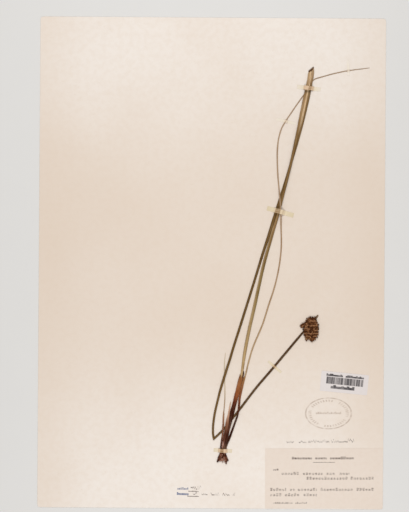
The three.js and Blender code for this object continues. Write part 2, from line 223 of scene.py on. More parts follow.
@shader_effect({**ROW_INPUTS, "Pitch": 0.002, "Solid": 0.0})
def written_row(given):
    """A word as a typist's dummy: letter-sized marks, evenly spaced on one line, that are no real letters.
    Most are low, some are tall, and each is broken into strokes where it isn't solid."""
    low, tall = 0.72, 1.0
    across, up, _ = axes_of(given["Vector"])
    beats = calc("DIVIDE", calc("SUBTRACT", across, given["Left"]), given["Pitch"])
    letter = calc("ADD", calc("FLOOR", beats), times(given["Seed"], 17.3))
    height = fade(chance(letter), 0.62, 0.7, low, tall)
    up = calc("ADD", calc("DIVIDE", calc("SUBTRACT", up, given["Middle"]), given["Height"]), 0.5)
    row = times(fade(up, 0.0, 0.12), fade(calc("SUBTRACT", up, height), -0.12, 0.02, 1.0, 0.0))
    dash = close_to(calc("FRACT", beats), 0.45, 0.3, 0.42)
    strokes = fade(cloud(given["Vector"], 1300.0, 1.0), 0.4, 0.58, 0.25, 1.0)
    inked = fade(cloud(given["Vector"], 260.0, 2.0), 0.3, 0.65, 0.75, 1.0)
    body = calc("MAXIMUM", times(dash, strokes), given["Solid"])
    return {"Mask": times(row_ends(across, given), row, inked, body)}


@shader_effect(ROW_INPUTS)
def pencil_scrawl(given):
    """A faint scrawl that spells nothing: one wavering pencil stroke, as long as a word."""
    across, up, _ = axes_of(given["Vector"])
    swing = calc("SUBTRACT", along_row(across, given, 950.0, 2.0), 0.5)
    rise = calc("MAXIMUM", times(swing, 4.0), -0.1)
    level = calc("ADD", given["Middle"], times(given["Height"], rise))
    stroke = close_to(up, level, 0.2 * MM, 0.65 * MM)
    pressed = fade(along_row(across, given, 320.0, 1.0), 0.35, 0.65, 0.45, 1.0)
    return {"Mask": times(stroke, pressed, row_ends(across, given))}


@shader_effect({"Vector": (0.0, 0.0, 0.0), "Half Width": 0.02, "Half Height": 0.013})
def oval_stamp(given):
    """An oval hand stamp, worn in places: a thin ring, and a band of short ticks with gaps inside it."""
    ring_at, band_at, band_ink, ticks_round, words_round = 0.97, 0.8, 0.8, 42.0, 4.0
    across, up, _ = axes_of(given["Vector"])
    across = calc("DIVIDE", across, given["Half Width"])
    up = calc("DIVIDE", up, given["Half Height"])
    reach = calc("SQRT", calc("ADD", times(across, across), times(up, up)))
    ring = close_to(reach, ring_at, 0.01, 0.05)
    band = close_to(reach, band_at, 0.045, 0.085)
    turn = calc("ARCTAN2", up, across)
    ticks = fade(calc("SINE", times(turn, ticks_round)), -0.8, 0.4)
    words = fade(calc("SINE", times(turn, words_round)), -0.92, -0.8)
    worn = fade(cloud(given["Vector"], 330.0, 3.0), 0.34, 0.6, 0.35, 1.0)
    return {"Mask": times(calc("MAXIMUM", ring, times(band, ticks, words, band_ink)), worn)}


def new_finish(name, roughness, specular):
    """A material with the roughness and specular level that are the same all over it, and its shader."""
    material = bpy.data.materials.new(name)
    material.use_nodes = True
    shader = material.node_tree.nodes["Principled BSDF"]
    shader.inputs["Roughness"].default_value = roughness
    shader.inputs["Specular IOR Level"].default_value = specular
    return material, shader


def place_in(shader):
    """Where each point of a piece is, for its material."""
    return put("TexCoord", {}, shader.id_data).outputs["Object"]


def join(value, shader, socket):
    shader.id_data.links.new(value, shader.inputs[socket])


def lay(shader, colour, relief, strength, depth):
    """Joins a colour, and a relief of that depth, to a material's shader."""
    join(colour, shader, "Base Color")
    bump = put("Bump", {"Height": relief, "Strength": strength, "Distance": depth})
    join(bump.outputs[0], shader, "Normal")


def paper_colour(place, fresh, toned, fibre_size):
    """The colour of toned paper with its fibres, and the relief of its surface."""
    formation, fibres, relief = use(paper_texture, {"Vector": place, "Fibre Size": fibre_size})
    toning = fade(cloud(place, 9.0, 3.0), 0.3, 0.75, 0.0, 0.3)
    patchy = fade(formation, 0.35, 0.7, 0.0, 0.16)
    return coated(fresh, (toning, toned), (patchy, toned), (times(fibres, 0.3), FIBRE_DARK)), relief


def moved(vector, x, y, turn):
    """Coordinates measured from x, y and turned by that many degrees."""
    sockets = {"Vector": vector, "Location": (x, y, 0.0), "Rotation": (0.0, 0.0, math.radians(turn))}
    return put("Mapping", sockets, vector_type="TEXTURE").outputs[0]


def one_word(colour, vector, effect, ends, middle, height, pigment, strength, **more):
    """colour with one word or scrawl over it, between two ends on a row at that middle."""
    mask, = use(effect, {"Vector": vector, "Left": ends[0] * MM, "Right": ends[1] * MM,
                         "Middle": middle * MM, "Height": height * MM, **more})
    return coated(colour, (times(mask, strength), pigment))


def written(colour, vector, rows, pigment, strength):
    """colour with rows of writing over it."""
    for middle, height, pitch, solid, *words in rows:
        for ends in words:
            colour = one_word(colour, vector, written_row, ends, middle, height, pigment, strength,
                              Pitch=pitch * MM, Solid=solid, Seed=ends[0] + middle)
    return colour


def scrawled(colour, vector, rows, strength):
    """colour with pencil scrawls over it."""
    for left, right, middle, height, seed in rows:
        colour = one_word(colour, vector, pencil_scrawl, (left, right), middle, height, PENCIL, strength,
                          Seed=seed)
    return colour


def mounting_paper():
    """The sheet's paper: toned and painted with shade across its middle, toned at its sides, foxed, stamped
    and pencilled.
    """
    material, shader = new_finish("mounting_paper", PAPER_ROUGHNESS, PAPER_SPECULAR)
    place = place_in(shader)
    colour, relief = paper_colour(place, SHEET_CREAM, SHEET_TONED, 1.0)
    across, up, _ = axes_of(place)
    # toning mixed with painted shade across the sheet's middle
    middle_toning_and_shade = fade(calc("ABSOLUTE", up), *MIDDLE_TONING_AND_SHADE)
    at_sides = fade(calc("ABSOLUTE", across), *TONED_SIDES)
    spots = put("TexVoronoi", {"Vector": place, "Scale": 26.0}).outputs["Distance"]
    rare = fade(cloud(place, 14.0, 1.0), 0.58, 0.66, 0.0, 0.35)
    foxing = times(fade(spots, 0.02, 0.045, 1.0, 0.0), rare)
    stamped, noted, numbered = (moved(place, *spot) for spot in (STAMP_PLACE, NOTE_PLACE, NUMBER_PLACE))
    ring, = use(oval_stamp, {"Vector": stamped, "Half Width": STAMP_HALF_WIDTH,
                             "Half Height": STAMP_HALF_HEIGHT})
    colour = coated(colour, (middle_toning_and_shade, SHEET_TONED), (at_sides, SHEET_TONED), (foxing, FOXING),
                    (times(ring, 0.6), STAMP_INK))
    colour = written(colour, stamped, STAMP_ROWS, STAMP_INK, 0.65)
    colour = scrawled(colour, noted, NOTE_SCRAWLS, 0.85)
    colour = written(colour, numbered, BLUE_ROWS, BLUE_INK, 0.95)
    colour = written(colour, numbered, PENCIL_LINES, PENCIL, 0.9)
    colour = scrawled(colour, numbered, NUMBER_SCRAWLS, 0.95)
    lay(shader, colour, relief, PAPER_BUMP, 0.02 * MM)
    return material


def soft_noise(x, y, wave, seed):
    """A smooth random pattern from 0 to 1 over x and y, with waves of about that length."""
    layers, circle = 6, 2 * math.pi
    random = np.random.default_rng(seed)
    total = np.zeros_like(x)
    for _ in range(layers):
        turn, phase, longer = random.uniform(0, circle), random.uniform(0, 9), random.uniform(0.6, 1.6)
        total += np.sin((x * math.cos(turn) + y * math.sin(turn)) * circle / (wave * longer) + phase)
    return 0.5 + total / (2 * layers)


def new_piece(name, points, faces, sharp=None):
    """A mesh object with smooth shading, and sharp edges past an angle in degrees where one is given."""
    mesh = bpy.data.meshes.new(name)
    mesh.from_pydata(np.asarray(points).tolist(), [], faces)
    mesh.shade_smooth()
    if sharp:
        mesh.set_sharp_from_angle(angle=math.radians(sharp))
    piece = bpy.data.objects.new(name, mesh)
    bpy.context.scene.collection.objects.link(piece)
    return piece


def paper_slab(name, centre, size, turn, spacing, edge):
    """A thin slab of paper: fine grids above and below, and a soft, slightly uneven cut edge between them."""
    edge_wave, cockle_wave = 7 * MM, 60 * MM
    columns, rows = round(size[0] / spacing), round(size[1] / spacing)
    u, v = np.meshgrid(np.linspace(-1, 1, columns + 1), np.linspace(-1, 1, rows + 1))
    u, v = u.ravel(), v.ravel()
    half_u, half_v, half_t = size[0] / 2, size[1] / 2, size[2] / 2
    out_u, out_v = np.where(np.abs(u) == 1, u, 0), np.where(np.abs(v) == 1, v, 0)
    uneven = edge["wander"] * soft_noise(u * size[0], v * size[1], edge_wave, 5)
    uneven += edge["corner"] * np.abs(out_u * out_v)
    high = half_t - edge["cockle"] * soft_noise(u * size[0], v * size[1], cockle_wave, 8)

    def layer(inset, z):
        return np.stack([u * half_u - out_u * (uneven + inset), v * half_v - out_v * (uneven + inset),
                         np.broadcast_to(z, u.shape)], axis=1)

    number = np.arange(len(u)).reshape(rows + 1, columns + 1)
    rim = np.concatenate([number[0, :-1], number[:-1, -1], number[-1, :0:-1], number[:0:-1, 0]])
    soft, count = edge["soft"], len(u)
    points = np.vstack([layer(soft, high), layer(soft, -half_t),
                        layer(0, high - soft)[rim], layer(0, -half_t + soft)[rim]])
    cos, sin = math.cos(turn), math.sin(turn)
    points = points @ np.array([[cos, sin, 0], [-sin, cos, 0], [0, 0, 1]]) + np.array(centre)
    corners = number[:-1, :-1], number[:-1, 1:], number[1:, 1:], number[1:, :-1]
    above = np.stack(corners, axis=2).reshape(-1, 4)
    faces = [np.stack([above, above[:, ::-1] + count], axis=1).reshape(-1, 4)]
    upper = np.arange(len(rim)) + 2 * count
    loops = [rim, upper, upper + len(rim), rim + count]
    for over, under in zip(loops, loops[1:]):
        faces.append(np.stack([np.roll(over, -1), over, under, np.roll(under, -1)], axis=1))
    return new_piece(name, points, np.vstack(faces).tolist(), sharp=35)


def stand_for(piece, node, slot, material):
    """Finishes a piece that takes the place of a CAD node."""
    piece.data.materials.clear()
    piece.data.materials.append(material)
    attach(piece, "root")
    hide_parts(node)


sheet_low, sheet_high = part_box("mounting_sheet")
SHEET_TOP = sheet_high.z
sheet = paper_slab("paper_sheet", (sheet_low + sheet_high) / 2, sheet_high - sheet_low, 0.0, SHEET_SPACING,
                   SHEET_EDGE)
stand_for(sheet, "mounting_sheet", "sheet_paper", mounting_paper())


# The two labels: a large thin printed and typed label, glued flush in the lower right corner, and a small
# bright white catalogue label, stuck on at a slant. Their writing is letter-sized marks that spell nothing.
LABEL_EDGE = {"soft": 0.02 * MM, "wander": 0.06 * MM, "corner": 0.1 * MM, "cockle": 0.02 * MM}
LABEL_THICKNESS = 0.12 * MM
LABELS = {
    "collection_label": {
        "width": 100 * MM, "height": 51.2 * MM, "turn": 0.45, "spacing": 2 * MM, "slot": "label_paper",
        "fresh": (232, 219, 207), "toned": (220, 201, 184), "fibre_size": 1.3,
        "roughness": 0.86, "specular": 0.22, "tooth": 0.012 * MM},
    "catalogue_label": {
        "width": 40.5 * MM, "height": 17.2 * MM, "turn": -5.4, "spacing": 1 * MM, "slot": "white_label_paper",
        "fresh": (226, 219, 217), "toned": (218, 208, 204), "fibre_size": 1.6,
        "roughness": 0.6, "specular": 0.35, "tooth": 0.006 * MM},
}
TYPING = (96, 82, 76)
PRINT_BLACK = (52, 46, 50)
PRINTED_ROWS = [
    (17.4, 2.6, 2.3, 0.5, (-27.5, -10), (-7.6, 2.6), (5, 25.8)),
    (13.7, 0.5, 1, 1.0, (-9.5, 9.5)), (7.6, 1.8, 1.6, 0.4, (-43.3, -38.4)),
]
TYPED_ROWS = [
    (4.3, 2.9, 2.54, 0.0, (-36.2, -20.7), (-18.1, -1.1), (2, 9.8), (13.1, 21.8)),
    (0.2, 2.9, 2.54, 0.0, (-15, 20.4), (22.5, 42.4)),
    (-9.3, 2.9, 2.54, 0.0, (-45.9, -32), (-29.2, -24.6), (-22.4, -5.8), (-3, 25), (27.5, 43.1)),
    (-13.8, 2.9, 2.54, 0.0, (-45.9, -36.2), (-33.4, -20.7), (-17.5, -5.8)),
    (-20.8, 1.6, 1.5, 0.3, (-43.3, -26.2), (-24.6, -14.3)),
]
BLACK_ROWS = [(5.7, 2.4, 1.5, 0.95, (-16, -1.6), (0.4, 16.4)), (-4.2, 3.4, 2.3, 0.95, (-11.4, 9.2))]
# The block of bars, as its middle, and how far from it the ink is full and gone
BARS_ACROSS = (0.3 * MM, 15.7 * MM, 15.8 * MM)
BARS_UP = (1.1 * MM, 2.9 * MM, 3 * MM)
BARS_TO_A_METRE = 2.9 / MM


def typed(colour, place):
    """The large label's printed heading and rules, and its typed rows."""
    return written(written(colour, place, PRINTED_ROWS, TYPING, 1.0), place, TYPED_ROWS, TYPING, 0.8)


def barred(colour, place):
    """The white label's bars, all of random widths, between two rows of black print."""
    across, up, _ = axes_of(place)
    bars = fade(chance(calc("FLOOR", times(across, BARS_TO_A_METRE))), 0.3, 0.34, 0.42, 1.0)
    block = times(close_to(across, *BARS_ACROSS), close_to(up, *BARS_UP))
    colour = coated(colour, (times(block, bars, 0.88), PRINT_BLACK))
    return written(colour, place, BLACK_ROWS, PRINT_BLACK, 1.0)


PRINTS = {"collection_label": typed, "catalogue_label": barred}
for node, facts in LABELS.items():
    low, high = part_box(node)
    middle = (low + high) / 2
    material, shader = new_finish(facts["slot"], facts["roughness"], facts["specular"])
    place = place_in(shader)
    colour, relief = paper_colour(place, facts["fresh"], facts["toned"], facts["fibre_size"])
    colour = PRINTS[node](colour, moved(place, middle.x, middle.y, facts["turn"]))
    lay(shader, colour, relief, PAPER_BUMP, facts["tooth"])
    label = paper_slab(node + "_paper", middle, (facts["width"], facts["height"], LABEL_THICKNESS),
                       math.radians(facts["turn"]), facts["spacing"], LABEL_EDGE)
    stand_for(label, node, facts["slot"], material)


# The flowering culm: one long round stem full of pith, dried flat in the press. It is folded over at the top
# and again at the foot so that it fits the sheet, lies on itself where the legs cross, and its skin has
# sunk between the fibres, so that fine ridges run the whole length.
AIR = 0.04
CULM_THICKNESS, SLENDER_THICKNESS, SHOOT_THICKNESS = 0.85, 0.55, 0.42
OVER_CULM, OVER_SLENDER, OVER_SHOOT = (
    thickness + 2 * AIR for thickness in (CULM_THICKNESS, SLENDER_THICKNESS, SHOOT_THICKNESS))
CULM_STEP = 0.7 * MM
RIDGES = {"count": 11, "depth": 0.05, "sunk": 0.22, "wander": 0.05}
# Each row is x, y, height above the sheet and width. The legs follow one another as one stem.
RISING_LEG = [
    (24.9, -101, 0.14, 1.7), (26.4, -92.5, 0.08, 2.1), (28.5, -77, 0, 2.7), (32.2, -56.8, 0, 2.8),
    (36.7, -36.4, 0, 2.8), (41, -15.9, 0, 2.7), (43.2, -5.7, 0, 2.7), (45.7, 4.5, 0, 2.7), (50.5, 22, 0, 2.7),
    (52.8, 30.2, 0, 2.7), (54.8, 37, 0.6, 2.5), (56.8, 44.5, OVER_CULM, 2.4), (60, 57.5, OVER_CULM, 2.3),
    (66.6, 84.5, OVER_CULM, 2.3), (72.2, 111.5, OVER_CULM, 2.4), (74.2, 121.5, 0.45, 2.6),
    (75.9, 130, 0, 2.8), (77.4, 137, 0.35, 3), (78.3, 141.5, OVER_SLENDER, 3), (80.1, 150, OVER_SLENDER, 2.8),
    (80.8, 153.5, 0.4, 2.6), (81.5, 157, 0, 2.6), (82.1, 161.3, 0, 2.65), (82.6, 163.6, 0, 2.1),
]
TOP_FOLD = [(81.4, 163, 0.1, 1.4), (82.7, 164, 0.12, 1.9), (84.1, 165.1, 0.12, 1.8), (85, 166.3, 0.05, 1.4),
            (85.4, 167.1, 0, 0.7)]
FALLING_LEG = [
    (85, 166, 0, 1.5), (84.85, 163, 0, 2.3), (84.5, 160, 0.25, 2.5), (83.9, 156.8, OVER_SLENDER, 2.4),
    (82.6, 149.5, OVER_SLENDER, 2.6), (81.85, 146, 0.35, 2.8), (80.7, 139.5, 0, 2.8), (78.45, 129, 0, 2.5),
    (76, 118, 0, 2.2), (72.5, 105, 0, 2.2), (68.6, 91.3, 0, 2.2), (60.6, 64.1, 0, 2.2), (52.15, 36.5, 0, 2.5),
    (47.8, 22, 0, 2.45), (43.8, 9.5, 0, 2.3), (39.25, -5.7, 0, 2.1), (34.6, -21.1, 0, 2.1),
    (25.2, -51.7, 0, 2.1), (18.6, -73, 0, 2.1), (16, -82, 0.25, 2.1), (13.3, -90.5, OVER_SHOOT, 2.1),
    (10.6, -99.5, OVER_SHOOT, 2.1), (8.2, -107.5, 0.25, 2), (5.9, -117, 0, 1.9), (3.4, -128.4, 0, 1.9),
    (2.2, -138, 0, 1.9), (2.1, -144.5, 0, 1.9), (2.75, -149.2, 0, 1.7), (3.05, -150.2, 0, 1.1),
]
FLOWER_STEM = [
    (2.35, -150.3, 0.06, 1.1), (3.2, -149.3, 0.06, 1.6), (9.6, -142.9, 0, 1.7), (22.5, -127.1, 0, 1.9),
    (38.4, -106.1, 0, 1.9), (51.2, -90.9, 0, 1.9), (62.6, -77.1, 0, 1.9), (73.9, -63.4, 0, 1.8),
    (78.4, -58.1, 0, 1.6), (80.6, -55.8, 0, 1.4),
]
# Stem colours by the y of each place, down the middle of the stem. The rising leg's darker row at y 144 is
# painted shadow below the top strap's edge.
RISING_TONES = [
    (-101, (198, 166, 120)), (-60, (172, 144, 100)), (-25, (136, 112, 66)), (0, (124, 98, 54)),
    (33, (146, 114, 74)), (60, (126, 96, 54)), (110, (134, 104, 64)), (136, (168, 136, 98)),
    (144, (146, 114, 76)), (156, (180, 150, 113)),
]
FALLING_TONES = [
    (-151, (112, 84, 44)), (-90, (112, 84, 44)), (-50, (102, 75, 36)), (20, (108, 80, 40)),
    (70, (122, 92, 50)), (135, (124, 96, 60)), (150, (126, 98, 62)), (160, (168, 138, 103)),
]
# The fold is dark at its crease: partly the stem's own dark break, partly painted crease shadow.
FOLD_BREAK_AND_SHADE_TONES = [(162, (84, 48, 14)), (167, (100, 74, 50))]
STEM_TONES = [(-151, (112, 84, 44)), (-127, (92, 66, 36)), (-58, (80, 54, 30))]
# Painted light: towards the fold both legs are painted straw-pale down the flank taken to be lit, and the
# rising leg faintly on its left lower down. A row gives the side that is pale, left of the stem being 1, how
# far out from its middle that starts, where up the sheet it begins, is full and ends, and how much. Beyond
# its end it fades over FLANK_END.
PAINTED_LIGHT_FLANK = (234, 203, 162)
FALLING_LIT_FLANKS = [(1, 0.34, 108, 127, 158, 0.95), (1, 0.34, 158, 169, 170, 0.7)]
RISING_LIT_FLANKS = [(-1, 0.4, 107, 126, 147, 0.85), (-1, 0.16, 151, 163, 170, 1), (1, 0.2, -60, -48, 30, 0.25)]
FLANK_END = 3
# Painted shade: the sides of a stem are darker than its middle, less so near the fold, as y and the share
# that is left
EDGE_SHADES = [(96, 0.7), (108, 0.86)]
# Painted shadow: the culm is darker along the straps' edges, as y, how far it reaches and how dark
STRAP_EDGE_SHADOWS = [(146.2, 1, 0.6), (47.9, 0.9, 0.3), (41.2, 0.9, 0.3)]
# The unseen underside takes its grain from another part of the pattern than the top
UNDERSIDE = 5 * MM


def smooth_route(rows, step):
    """Places evenly spaced along the curve through the rows, each as x, y, height and width."""
    between = 40
    rows = np.array(rows, float) * MM
    rows = np.vstack([2 * rows[0] - rows[1], rows, 2 * rows[-1] - rows[-2]])
    fine = []
    for four in zip(rows, rows[1:], rows[2:], rows[3:]):
        gaps = np.sqrt([max(np.linalg.norm(b[:3] - a[:3]), 1e-9) for a, b in zip(four, four[1:])])
        knot = np.concatenate([[0], np.cumsum(gaps)])
        t = np.linspace(knot[1], knot[2], between, endpoint=False)[:, None]
        layer = list(four)
        for reach in (1, 2):
            layer = [((knot[i + reach] - t) * layer[i] + (t - knot[i]) * layer[i + 1])
                     / (knot[i + reach] - knot[i]) for i in range(len(layer) - 1)]
        fine.append(((knot[2] - t) * layer[0] + (t - knot[1]) * layer[1]) / (knot[2] - knot[1]))
    fine = np.vstack([*fine, rows[-2:-1]])
    along = np.concatenate([[0], np.cumsum(np.linalg.norm(np.diff(fine[:, :3], axis=0), axis=1))])
    even = np.linspace(0, along[-1], max(3, round(along[-1] / step)) + 1)
    return np.stack([np.interp(even, along, column) for column in fine.T], axis=1), even


def bearings(places):
    """The direction to the left of the route at each place, and how sharply the route turns there."""
    ahead = np.gradient(places[:, :2], axis=0)
    pace = np.linalg.norm(ahead, axis=1)
    ahead = ahead / pace[:, None]
    heading = np.unwrap(np.arctan2(ahead[:, 1], ahead[:, 0]))
    return np.stack([-ahead[:, 1], ahead[:, 0]], axis=1), np.gradient(heading) / pace


def wander(along, wave, seed):
    """A smooth random line from -1 to 1 along a stem."""
    random = np.random.default_rng(seed)
    count = int(along.max() / wave) + 4
    values = random.uniform(-1, 1, count)
    spot = np.clip(along / wave, 0, count - 1.001)
    base = spot.astype(int)
    ease = (1 - np.cos(math.pi * (spot - base))) / 2
    return values[base] * (1 - ease) + values[np.minimum(base + 1, count - 1)] * ease


def pressed_section(sides, square=0.72):
    """The outline of a flattened stem, across from -1 to 1 and up from 0 to 1, and whether it faces up."""
    angle = np.linspace(0, 2 * math.pi, sides, endpoint=False)
    across, up = (np.sign(line) * np.abs(line) ** square for line in (np.cos(angle), np.sin(angle)))
    return across, 0.5 + 0.5 * up, np.sin(angle) > 0.02


def tube_faces(rings, sides):
    """Quads between rings of points, and a fan of triangles over each end's middle point."""
    turns = [(i, (i + 1) % sides) for i in range(sides)]
    faces = [(ring + i, ring + j, ring + sides + j, ring + sides + i)
             for ring in range(0, (rings - 1) * sides, sides) for i, j in turns]
    last, middle = (rings - 1) * sides, rings * sides
    for i, j in turns:
        faces += [(j, i, middle), (last + i, last + j, middle + 1)]
    return faces


def end_middles(rings):
    return [rings[0].mean(axis=0), rings[-1].mean(axis=0)]


def mark(piece, grain, tones):
    """Writes each point's place along and across the grain, and its tone, for the material to read."""
    piece.data.attributes.new("grain", "FLOAT_VECTOR", "POINT").data.foreach_set("vector", grain.ravel())
    piece.data.attributes.new("tone", "FLOAT_COLOR", "POINT").data.foreach_set("color", tones.ravel())


def closed_tube(name, rings, grain, tones, sharp=None, cut=1.0):
    """A marked piece through rings of points, closed over the middle of each end, where tones are cut times
    as bright."""
    points = np.vstack([rings.reshape(-1, 3), *end_middles(rings)])
    piece = new_piece(name, points, tube_faces(*rings.shape[:2]), sharp)
    mark(piece, np.vstack([grain.reshape(-1, 3), *end_middles(grain)]),
         np.vstack([tones, tones[:1] * cut, tones[-1:] * cut]))
    return piece


def toned(tones, y):
    """The colour at each y, between the colours that a table gives, as a linear colour."""
    at = np.array([row[0] for row in tones]) * MM
    colours = np.array([ink(*row[1]) for row in tones])
    return np.stack([np.interp(y, at, channel) for channel in colours.T], axis=-1)


def painted_light_and_shade(tones, y, across, lit_flanks, strap_shadows):
    """Tones with painted shade towards a stem's edges, painted shadow along the straps' edges, and painted
    light down one flank near the fold.
    """
    y = y / MM
    # painted shade on the stem's sides
    edge = np.clip(np.abs(across) * 1.5 - 0.4, 0, 1)
    shade = np.interp(y, *zip(*EDGE_SHADES))
    tones = tones * (1 - edge * (1 - shade))[:, None]
    # painted light down the flank taken to be lit
    for side, start, low, full, high, most in lit_flanks:
        reach = np.interp(y, [low, full, high, high + FLANK_END], [0, 1, 1, 0])
        pale = (most * reach * np.clip((across * side - start) * 3, 0, 1))[:, None]
        tones = tones * (1 - pale) + np.array(ink(*PAINTED_LIGHT_FLANK)) * pale
    # painted shadow along the straps' edges
    for middle, reach, depth in strap_shadows:
        tones = tones * (1 - depth * np.exp(-((y - middle) / reach) ** 2))[:, None]
    return tones


def pressed_stem(name, route, tones, thickness, step, ridges, sides=36, seed=1, tip=1.0, lit_flanks=(),
                 strap_shadows=()):
    """A flattened stem with fine ridges, a sunken middle and slightly uneven edges, closed at both ends.
    Tight bends don't cross over on their inner side."""
    edge_wave, sunk_wave, drift_wave = 3.5 * MM, 9 * MM, 60 * MM
    tightest, cut_end = 0.82, 1.3
    places, along = smooth_route(route, step)
    flow = 1 if places[-1, 1] > places[0, 1] else -1
    side, turning = bearings(places)
    across, up, above = pressed_section(sides)
    places[:, 3] *= 1 - ridges["wander"] * (0.5 + 0.5 * wander(along, edge_wave, seed))
    drift = 0.35 * wander(along, drift_wave, seed + 1)[:, None]
    height = np.interp(along, [0, along[-1]], [thickness, thickness * tip])[:, None] * MM
    ribs = 0.5 + 0.5 * np.cos(ridges["count"] * math.pi * (across[None] + drift * 0.3))
    fresh = 0.65 + 0.35 * wander(along, sunk_wave, seed + 2)[:, None]
    sunk = ridges["sunk"] * fresh * np.exp(-((across[None] - 0.4 * drift) / 0.4) ** 2)
    level = up - above * (ridges["depth"] * ribs / thickness + sunk)
    offset = across * places[:, 3:4] / 2
    limit = tightest / np.maximum(np.abs(turning[:, None]), 1e-6)
    inner = np.sign(offset) == np.sign(turning[:, None])
    offset = np.where(inner, np.sign(offset) * np.minimum(np.abs(offset), limit), offset)
    x, y = (places[:, i:i + 1] + side[:, i:i + 1] * offset for i in (0, 1))
    z = SHEET_TOP + np.maximum(places[:, 2:3], AIR * MM) + level * height
    along = np.broadcast_to(along[:, None], offset.shape)
    grain = np.stack([along, offset, np.broadcast_to(np.where(above, 0.0, UNDERSIDE), offset.shape)], axis=2)
    tones = painted_light_and_shade(toned(tones, y.ravel()), y.ravel(), np.tile(across * flow, len(places)), lit_flanks, strap_shadows)
    return closed_tube(name, np.stack([x, y, z], axis=2), grain, tones, 75, cut_end)


def stretched(vector, *waves):
    """A vector multiplied by how many waves to the metre a pattern has along, across and down the grain."""
    return put("VectorMath", {0: vector, 1: waves}, operation="MULTIPLY").outputs[0]


@shader_effect({"Grain": (0.0, 0.0, 0.0), "Fineness": 1.0})
def plant_fibre(given):
    """The dried skin of a stem: streaks and ridges that run with the grain, and small dark flecks."""
    fine = sized(given["Grain"], given["Fineness"])
    streaks = cloud(stretched(fine, 60.0, 5200.0, 60.0), 1.0, 3.0)
    ribs = cloud(stretched(fine, 25.0, 9000.0, 40.0), 1.0, 1.0)
    blotches = cloud(stretched(fine, 110.0, 500.0, 60.0), 1.0, 3.0)
    speckled = stretched(fine, 420.0, 2300.0, 60.0)
    specks = put("TexVoronoi", {"Vector": speckled, "Scale": 1.0}).outputs["Distance"]
    rare = fade(cloud(stretched(fine, 90.0, 300.0, 40.0), 1.0, 1.0), 0.5, 0.62)
    return {"Streaks": streaks, "Flecks": times(fade(specks, 0.1, 0.24, 1.0, 0.0), rare),
            "Blotches": blotches, "Relief": calc("ADD", ribs, times(streaks, 0.6))}


def read_marks(shader):
    """The tone and the grain that were marked on a piece."""
    return [put("Attribute", {}, shader.id_data, attribute_name=name).outputs[output]
            for name, output in (("tone", "Color"), ("grain", "Vector"))]


STREAK_DARK, STREAK_PALE, FLECK = (158, 128, 104), (232, 212, 176), (44, 24, 12)


def dried_skin(name, roughness, specular, streaky, flecked, blotched, relief, fineness=1.0):
    """A dried stem or sheath: its tone with lengthwise streaks, darker blotches, flecks and fine ridges."""
    material, shader = new_finish(name, roughness, specular)
    tone, grain = read_marks(shader)
    streaks, flecks, blotches, ridges = use(plant_fibre, {"Grain": grain, "Fineness": fineness})
    dark = put("Mix", {0: 1.0, 6: tone, 7: ink(*STREAK_DARK)}, data_type="RGBA",
               blend_type="MULTIPLY").outputs[2]
    pale = coated(tone, (0.35, STREAK_PALE))
    colour = coated(tone, (fade(streaks, 0.52, 0.74, 0.0, streaky), pale),
                    (fade(streaks, 0.48, 0.28, 0.0, streaky), dark),
                    (fade(blotches, 0.5, 0.72, 0.0, blotched), dark), (times(flecks, flecked), FLECK))
    join(fade(streaks, 0.3, 0.7, roughness + 0.1, roughness - 0.1), shader, "Roughness")
    lay(shader, colour, ridges, 0.6, relief)
    return material


def joined(name, pieces):
    """Several meshes as one piece, with their marks kept."""
    with bpy.context.temp_override(active_object=pieces[0], object=pieces[0], selected_objects=pieces,
                                   selected_editable_objects=pieces):
        bpy.ops.object.join()
    pieces[0].name = name
    return pieces[0]


culm_skin = dried_skin("dry_culm_skin", 0.66, 0.07, streaky=0.55, flecked=0.5, blotched=0.35,
                       relief=0.02 * MM)
LEGS = {
    "rising_leg": {"route": RISING_LEG, "tones": RISING_TONES, "seed": 3, "lit_flanks": RISING_LIT_FLANKS,
                   "strap_shadows": STRAP_EDGE_SHADOWS},
    "top_fold": {"route": TOP_FOLD, "tones": FOLD_BREAK_AND_SHADE_TONES, "seed": 4},
    "falling_leg": {"route": FALLING_LEG, "tones": FALLING_TONES, "seed": 5, "lit_flanks": FALLING_LIT_FLANKS,
                    "strap_shadows": STRAP_EDGE_SHADOWS},
    "flower_stem": {"route": FLOWER_STEM, "tones": STEM_TONES, "seed": 6},
}
legs = [pressed_stem(name, thickness=CULM_THICKNESS, step=CULM_STEP, ridges=RIDGES, **facts)
        for name, facts in LEGS.items()]
stand_for(joined("pressed_culm", legs), "flowering_culm", "dry_culm", culm_skin)


